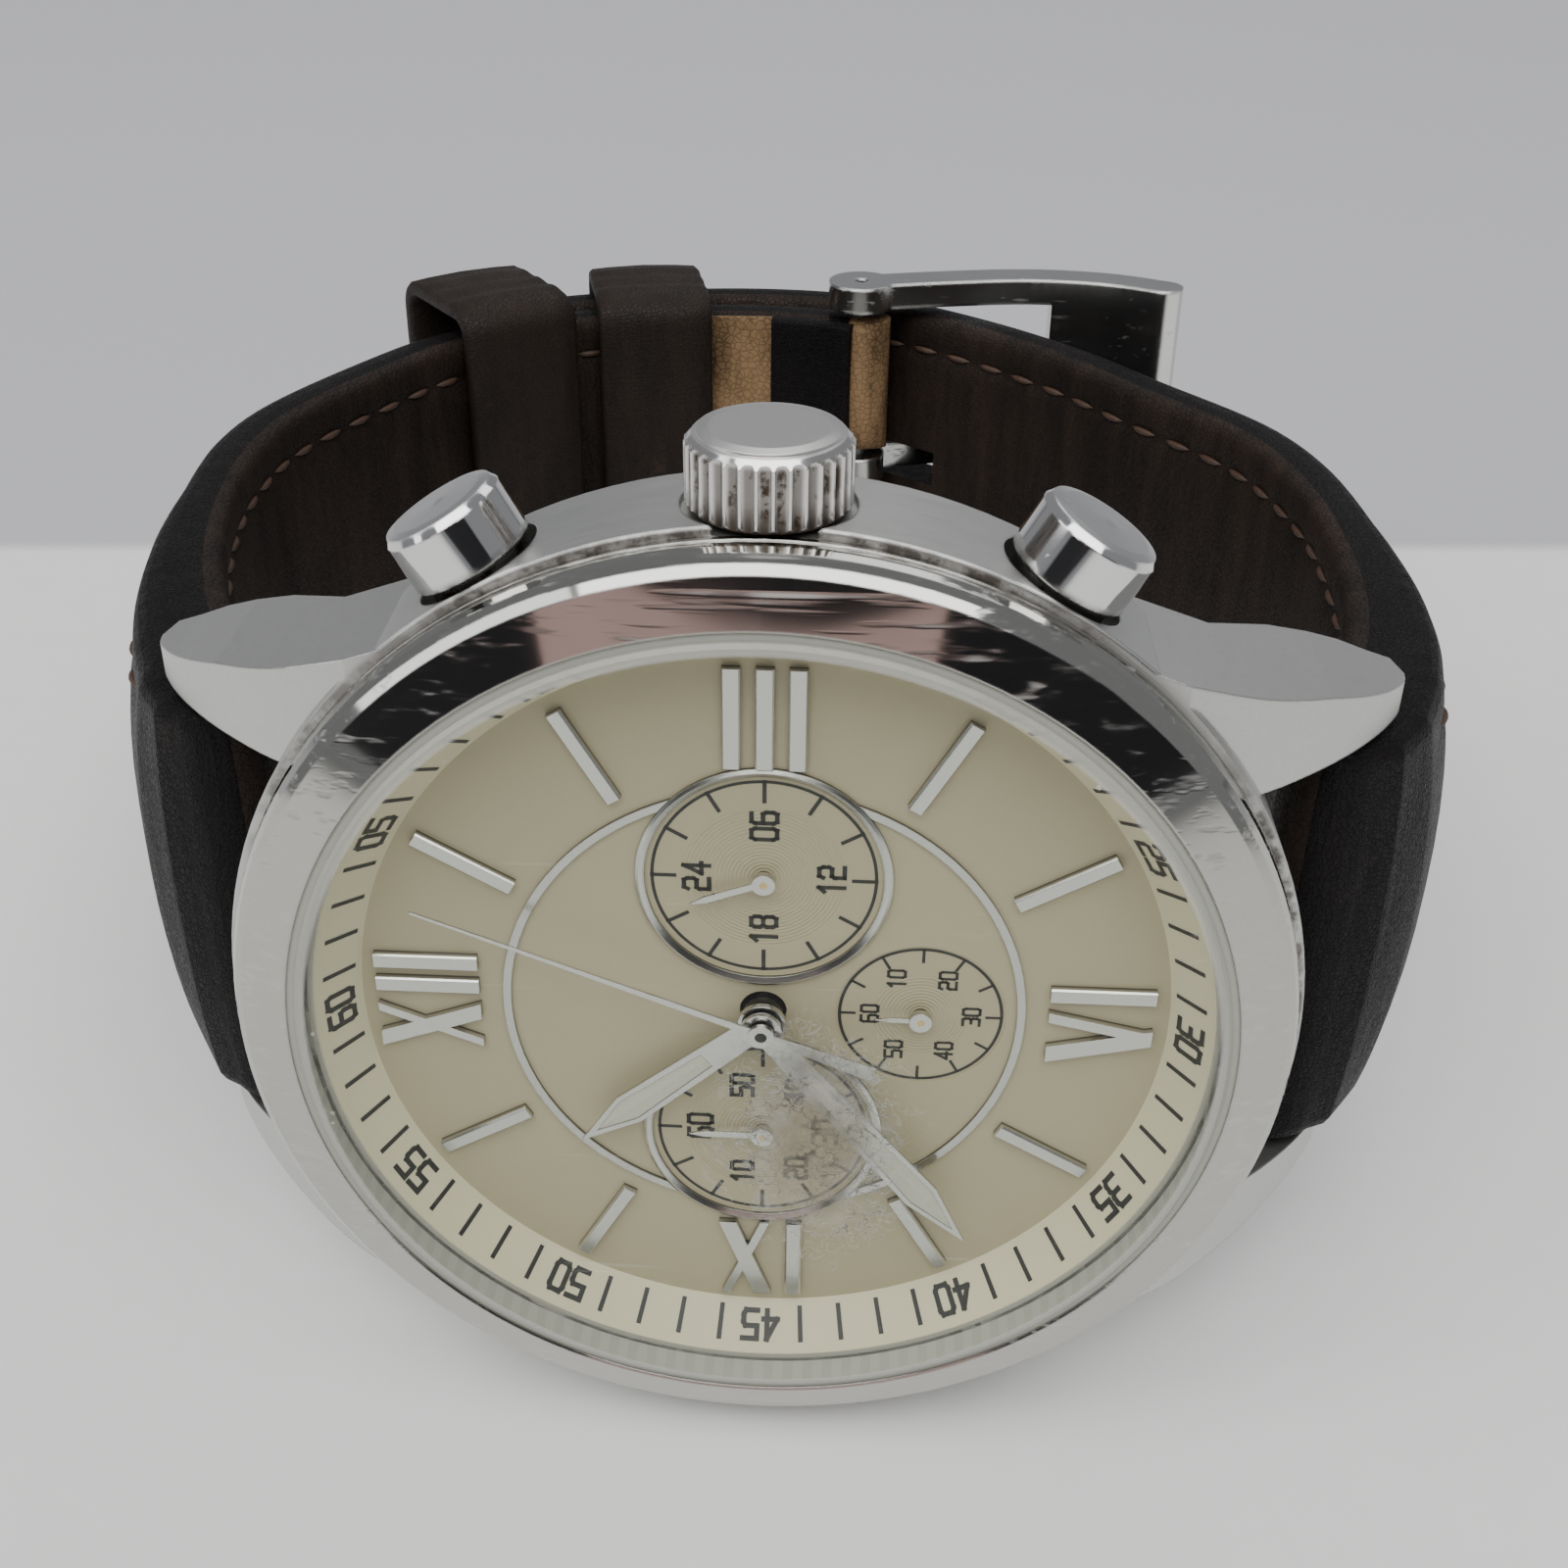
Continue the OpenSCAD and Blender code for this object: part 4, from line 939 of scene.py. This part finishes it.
def cutter(name, middle, side, size=None):
    """A shape to cut away: a round punch, or a slot when size is given."""
    if size:
        bpy.ops.mesh.primitive_cube_add(size=1, location=loop(*middle), scale=[s * MM for s in size])
    else:
        bpy.ops.mesh.primitive_cylinder_add(radius=HOLE_RADIUS * MM, depth=CUT_DEPTH * MM, vertices=28,
                                            location=loop(*middle))
    made = bpy.context.object
    made.name = name
    up = (loop(*side) - loop(0, 0)).normalized()
    made.rotation_mode = "QUATERNION"
    made.rotation_quaternion = Matrix((to_three.cross(up), to_three, up)).transposed().to_quaternion()
    return made


cuts = []
for distance in HOLES:
    i = min(range(len(line_6)), key=lambda k: abs(run_6[k] - (ARM_LENGTH + distance)))
    cuts.append(cutter(f"punch_{i}", tuple(line_6[i]), tuple(side_of(line_6, i, -1))))
cuts.append(cutter("tongue_slot", (6.1, 66.3), (0.45, 0.89), size=(7.4, 2.4, CUT_DEPTH)))
for c in cuts:
    modifier = strap_6.modifiers.new("cut", "BOOLEAN")
    modifier.object, modifier.solver = c, "EXACT"
    bpy.context.view_layer.objects.active = strap_6
    bpy.ops.object.modifier_apply(modifier=modifier.name)
    bpy.data.objects.remove(c)
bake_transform(strap_6)
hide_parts("strap_6_arm", "lining_6_arm", "strap_6_tail", "lining_6_tail")

# %% [markdown]
# ## Stitches
# Each stitch is a short, slightly sunken grain of waxed thread. They follow the strap's edges on both
# faces. Small real shapes catch light far better than a painted dashed line.
# %% Stitches
STITCH_STEP, STITCH_LENGTH, STITCH_THICK = 2.9, 2.0, 0.42
RINGS, SIDES = 5, 6      # points along and round one stitch


def stitches(name, line, runs, out, start, stop):
    points, faces = [], []
    run = start
    while run < stop:
        i = min(range(len(line) - 1), key=lambda k: abs(runs[k] - run))
        way = (line[min(i + 1, len(line) - 1)] - line[max(i - 1, 0)]).normalized()
        side = side_of(line, i, out)
        spot = line[i] + way * (run - runs[i])
        fallen = doming(run) * 0.56 - padding(run)
        for face, high in ((1, thickness(run) / 2 - fallen - 0.13), (-1, 0.15 - thickness(run) / 2)):
            for z in (HALF_WIDTH - STITCH_INSET, STITCH_INSET - HALF_WIDTH):
                base = len(points)
                for j in range(RINGS):
                    share = -1 + 2 * j / (RINGS - 1)
                    fat = STITCH_THICK / 2 * math.sqrt(max(0.04, 1 - share ** 2))
                    level = high - 0.10 * share ** 2 * face
                    for k in range(SIDES):
                        a = 2 * math.pi * k / SIDES
                        flat = spot + way * (share * STITCH_LENGTH / 2) + side * (level + fat * math.cos(a))
                        points.append(loop(*flat, z + fat * math.sin(a)))
                faces += band(base, RINGS, SIDES)
                last = base + SIDES * (RINGS - 1)
                faces.append(tuple(base + k for k in range(SIDES)))
                faces.append(tuple(last + k for k in reversed(range(SIDES))))
        run += STITCH_STEP
    made = piece(name, None, points, faces, [thread], sharp=80)
    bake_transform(made)


stitches("stitches_12", line_12, run_12, 1, 7.0, 76.0)
stitches("stitches_6", line_6, run_6, -1, 7.0, run_6[-1] - 5.0)

# %% [markdown]
# ## Keepers
# A keeper is a short strip of leather closed into a loop. Its path is a rounded rectangle round both strap
# ends, and its section is a thin lens with soft edges. The loose one slides on its own body.
# %% Keepers
KEEPER_LENS = ((-.5, -.25), (-.47, -.42), (-.3, -.5), (0, -.5), (.3, -.5), (.47, -.42), (.5, -.25),
               (.5, .25), (.47, .42), (.3, .5), (0, .56), (-.3, .5), (-.47, .42), (-.5, .25))
KEEPER_THICK, KEEPER_CORNER = 1.2, 1.5
CORNER_POINTS, SIDE_STEPS = 7, 12


def keeper(name, node, body, middle, turn_deg, inside, wide=7.6, tall=0.0):
    a = math.radians(turn_deg)
    along, side = Vector((math.cos(a), math.sin(a))), Vector((-math.sin(a), math.cos(a)))
    half_t = (inside + KEEPER_THICK) / 2 - KEEPER_CORNER
    half_z = HALF_WIDTH + 0.35 + tall + KEEPER_THICK / 2 - KEEPER_CORNER
    path = []
    for cx, cz, start in ((1, 1, 0), (-1, 1, 90), (-1, -1, 180), (1, -1, 270)):
        for k in range(CORNER_POINTS):
            b = math.radians(start + 90 / (CORNER_POINTS - 1) * k)
            nt, nz = math.cos(b), math.sin(b)
            path.append((cx * half_t + KEEPER_CORNER * nt, cz * half_z + KEEPER_CORNER * nz, nt, nz))
    full = []
    for i, (t, z, nt, nz) in enumerate(path):
        full.append((t, z, nt, nz))
        if i % CORNER_POINTS == CORNER_POINTS - 1:
            t2, z2 = path[(i + 1) % len(path)][:2]
            shares = [k / SIDE_STEPS for k in range(1, SIDE_STEPS)]
            full += [(t + (t2 - t) * share, z + (z2 - z) * share, nt, nz) for share in shares]
    rng = random.Random(3)
    points = []
    for t, z, nt, nz in full:
        slack = 0.06 * math.sin(3 * t + 0.7 * z) + rng.uniform(-0.02, 0.02)
        for x, n in KEEPER_LENS:
            grow = n * KEEPER_THICK + slack * (n > 0)
            flat = Vector(middle) + along * (x * wide) + side * (t + nt * grow)
            points.append(loop(*flat, z + nz * grow))
    faces = band(0, len(full), len(KEEPER_LENS), closed=True)
    made = piece(name, body, points, faces, [keeper_leather], sharp=60)
    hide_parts(node)


keeper("fixed_keeper_loop", "fixed_keeper", "clasp", (-11.7, 65.6), 12, 7.6)
keeper("loose_keeper_loop", "free_keeper", "loose_keeper", (-21.9, 60.9), 36, 8.0, wide=7.9, tall=0.7)

# %% [markdown]
# ## Stage
# A white sheet lies on a grey table, and its far edge passes close behind the watch. One floor with two
# tones gives that. A big soft panel stands high in front, with smaller ones at the left and behind. A dark
# card and a pink one in front make the mirror surfaces read as metal: without something dark to reflect,
# chrome looks like plaster.
# %% Floor and lights
SHEET_EDGE, SHEET_SLOPE = (0.0382, 0.0402), 0.053      # metres behind the middle, and its slant
paper = Finish("floor_paper")
f = paper
y = f.node("ShaderNodeSeparateXYZ", {}, {"Vector": f.place}, "Y")
x = f.node("ShaderNodeSeparateXYZ", {}, {"Vector": f.place}, "X")
far = (y - x * SHEET_SLOPE).between(*SHEET_EDGE)
speck = f.noise(400.0, 3.0)
f.set(Base_Color=f.mix(far, f.mix(speck, (0.80, 0.795, 0.78), (0.84, 0.835, 0.82)), (0.50, 0.50, 0.515)),
      Roughness=0.85 + speck * 0.1)
bpy.ops.mesh.primitive_plane_add(size=4)
floor = bpy.context.object
floor.name = "floor"
floor.data.materials.append(paper.material)


def aim_at(made, place, aim, axis):
    """Turns an object at a place so that its axis points at the aim."""
    made.rotation_mode = "QUATERNION"
    made.rotation_quaternion = (Vector(aim) - Vector(place)).to_track_quat(axis, "Y")


def panel(name, place, aim, size, watts):
    lamp = bpy.data.lights.new(name, "AREA")
    lamp.shape, lamp.size, lamp.size_y, lamp.energy = "RECTANGLE", *size, watts
    made = add_object(name, lamp)
    made.location = place
    aim_at(made, place, aim, "-Z")


panel("front_panel", (0.0, -0.30, 0.72), (0, 0, 0), (0.9, 0.6), 6.5)
panel("left_panel", (-0.6, -0.15, 0.45), (0, 0, 0.02), (0.35, 0.5), 1.2)
panel("back_panel", (0.15, 0.5, 0.55), (0, 0, 0.02), (0.6, 0.3), 1.0)
world = bpy.data.worlds.new("soft_room")
bpy.context.scene.world = world
world.use_nodes = True
sky = world.node_tree.nodes["Background"].inputs
sky["Color"].default_value = (0.62, 0.63, 0.66, 1)
sky["Strength"].default_value = 0.45


# %% Cards
def card(name, place, size, colour, glow):
    """A plain card facing the watch. Only mirrors see it."""
    finish = Finish(name + "_paint", Roughness=0.9, Emission_Strength=glow)
    shade = finish.mix(finish.noise(9.0), colour, tuple(c * 1.2 for c in colour))
    finish.set(Base_Color=shade, Emission_Color=shade)
    bpy.ops.mesh.primitive_plane_add(size=1, location=place)
    made = bpy.context.object
    made.name = name
    made.scale = (*size, 1)
    aim_at(made, place, (0, 0, 0.03), "Z")
    made.data.materials.append(finish.material)
    made.visible_camera = made.visible_shadow = made.visible_diffuse = False


card("dark_card", (-0.02, -0.40, 0.17), (0.95, 0.26), (0.012, 0.012, 0.014), 0.4)
card("pink_card", (-0.03, -0.36, 0.13), (0.27, 0.11), (0.50, 0.35, 0.33), 0.5)

# %% Camera
LENS_MM = 43.07
camera = add_object("camera", bpy.data.cameras.new("camera"))
camera.data.lens, camera.data.sensor_width = LENS_MM, 36.0
camera.data.clip_start = 0.005


def direction(x, y, z):
    return (to_six * x + to_wrist * y + to_three * z).normalized()


eye = loop(3.37, -62.38, 49.30)
right, up = direction(0.9988, 0.0475, 0.0103), direction(-0.0334, 0.5161, 0.8559)
camera.matrix_world = Matrix.Translation(eye) @ Matrix((right, up, right.cross(up))).transposed().to_4x4()
bpy.context.scene.camera = camera
print("camera stands", round((eye - dial_middle).length * 1000), "mm from the dial")
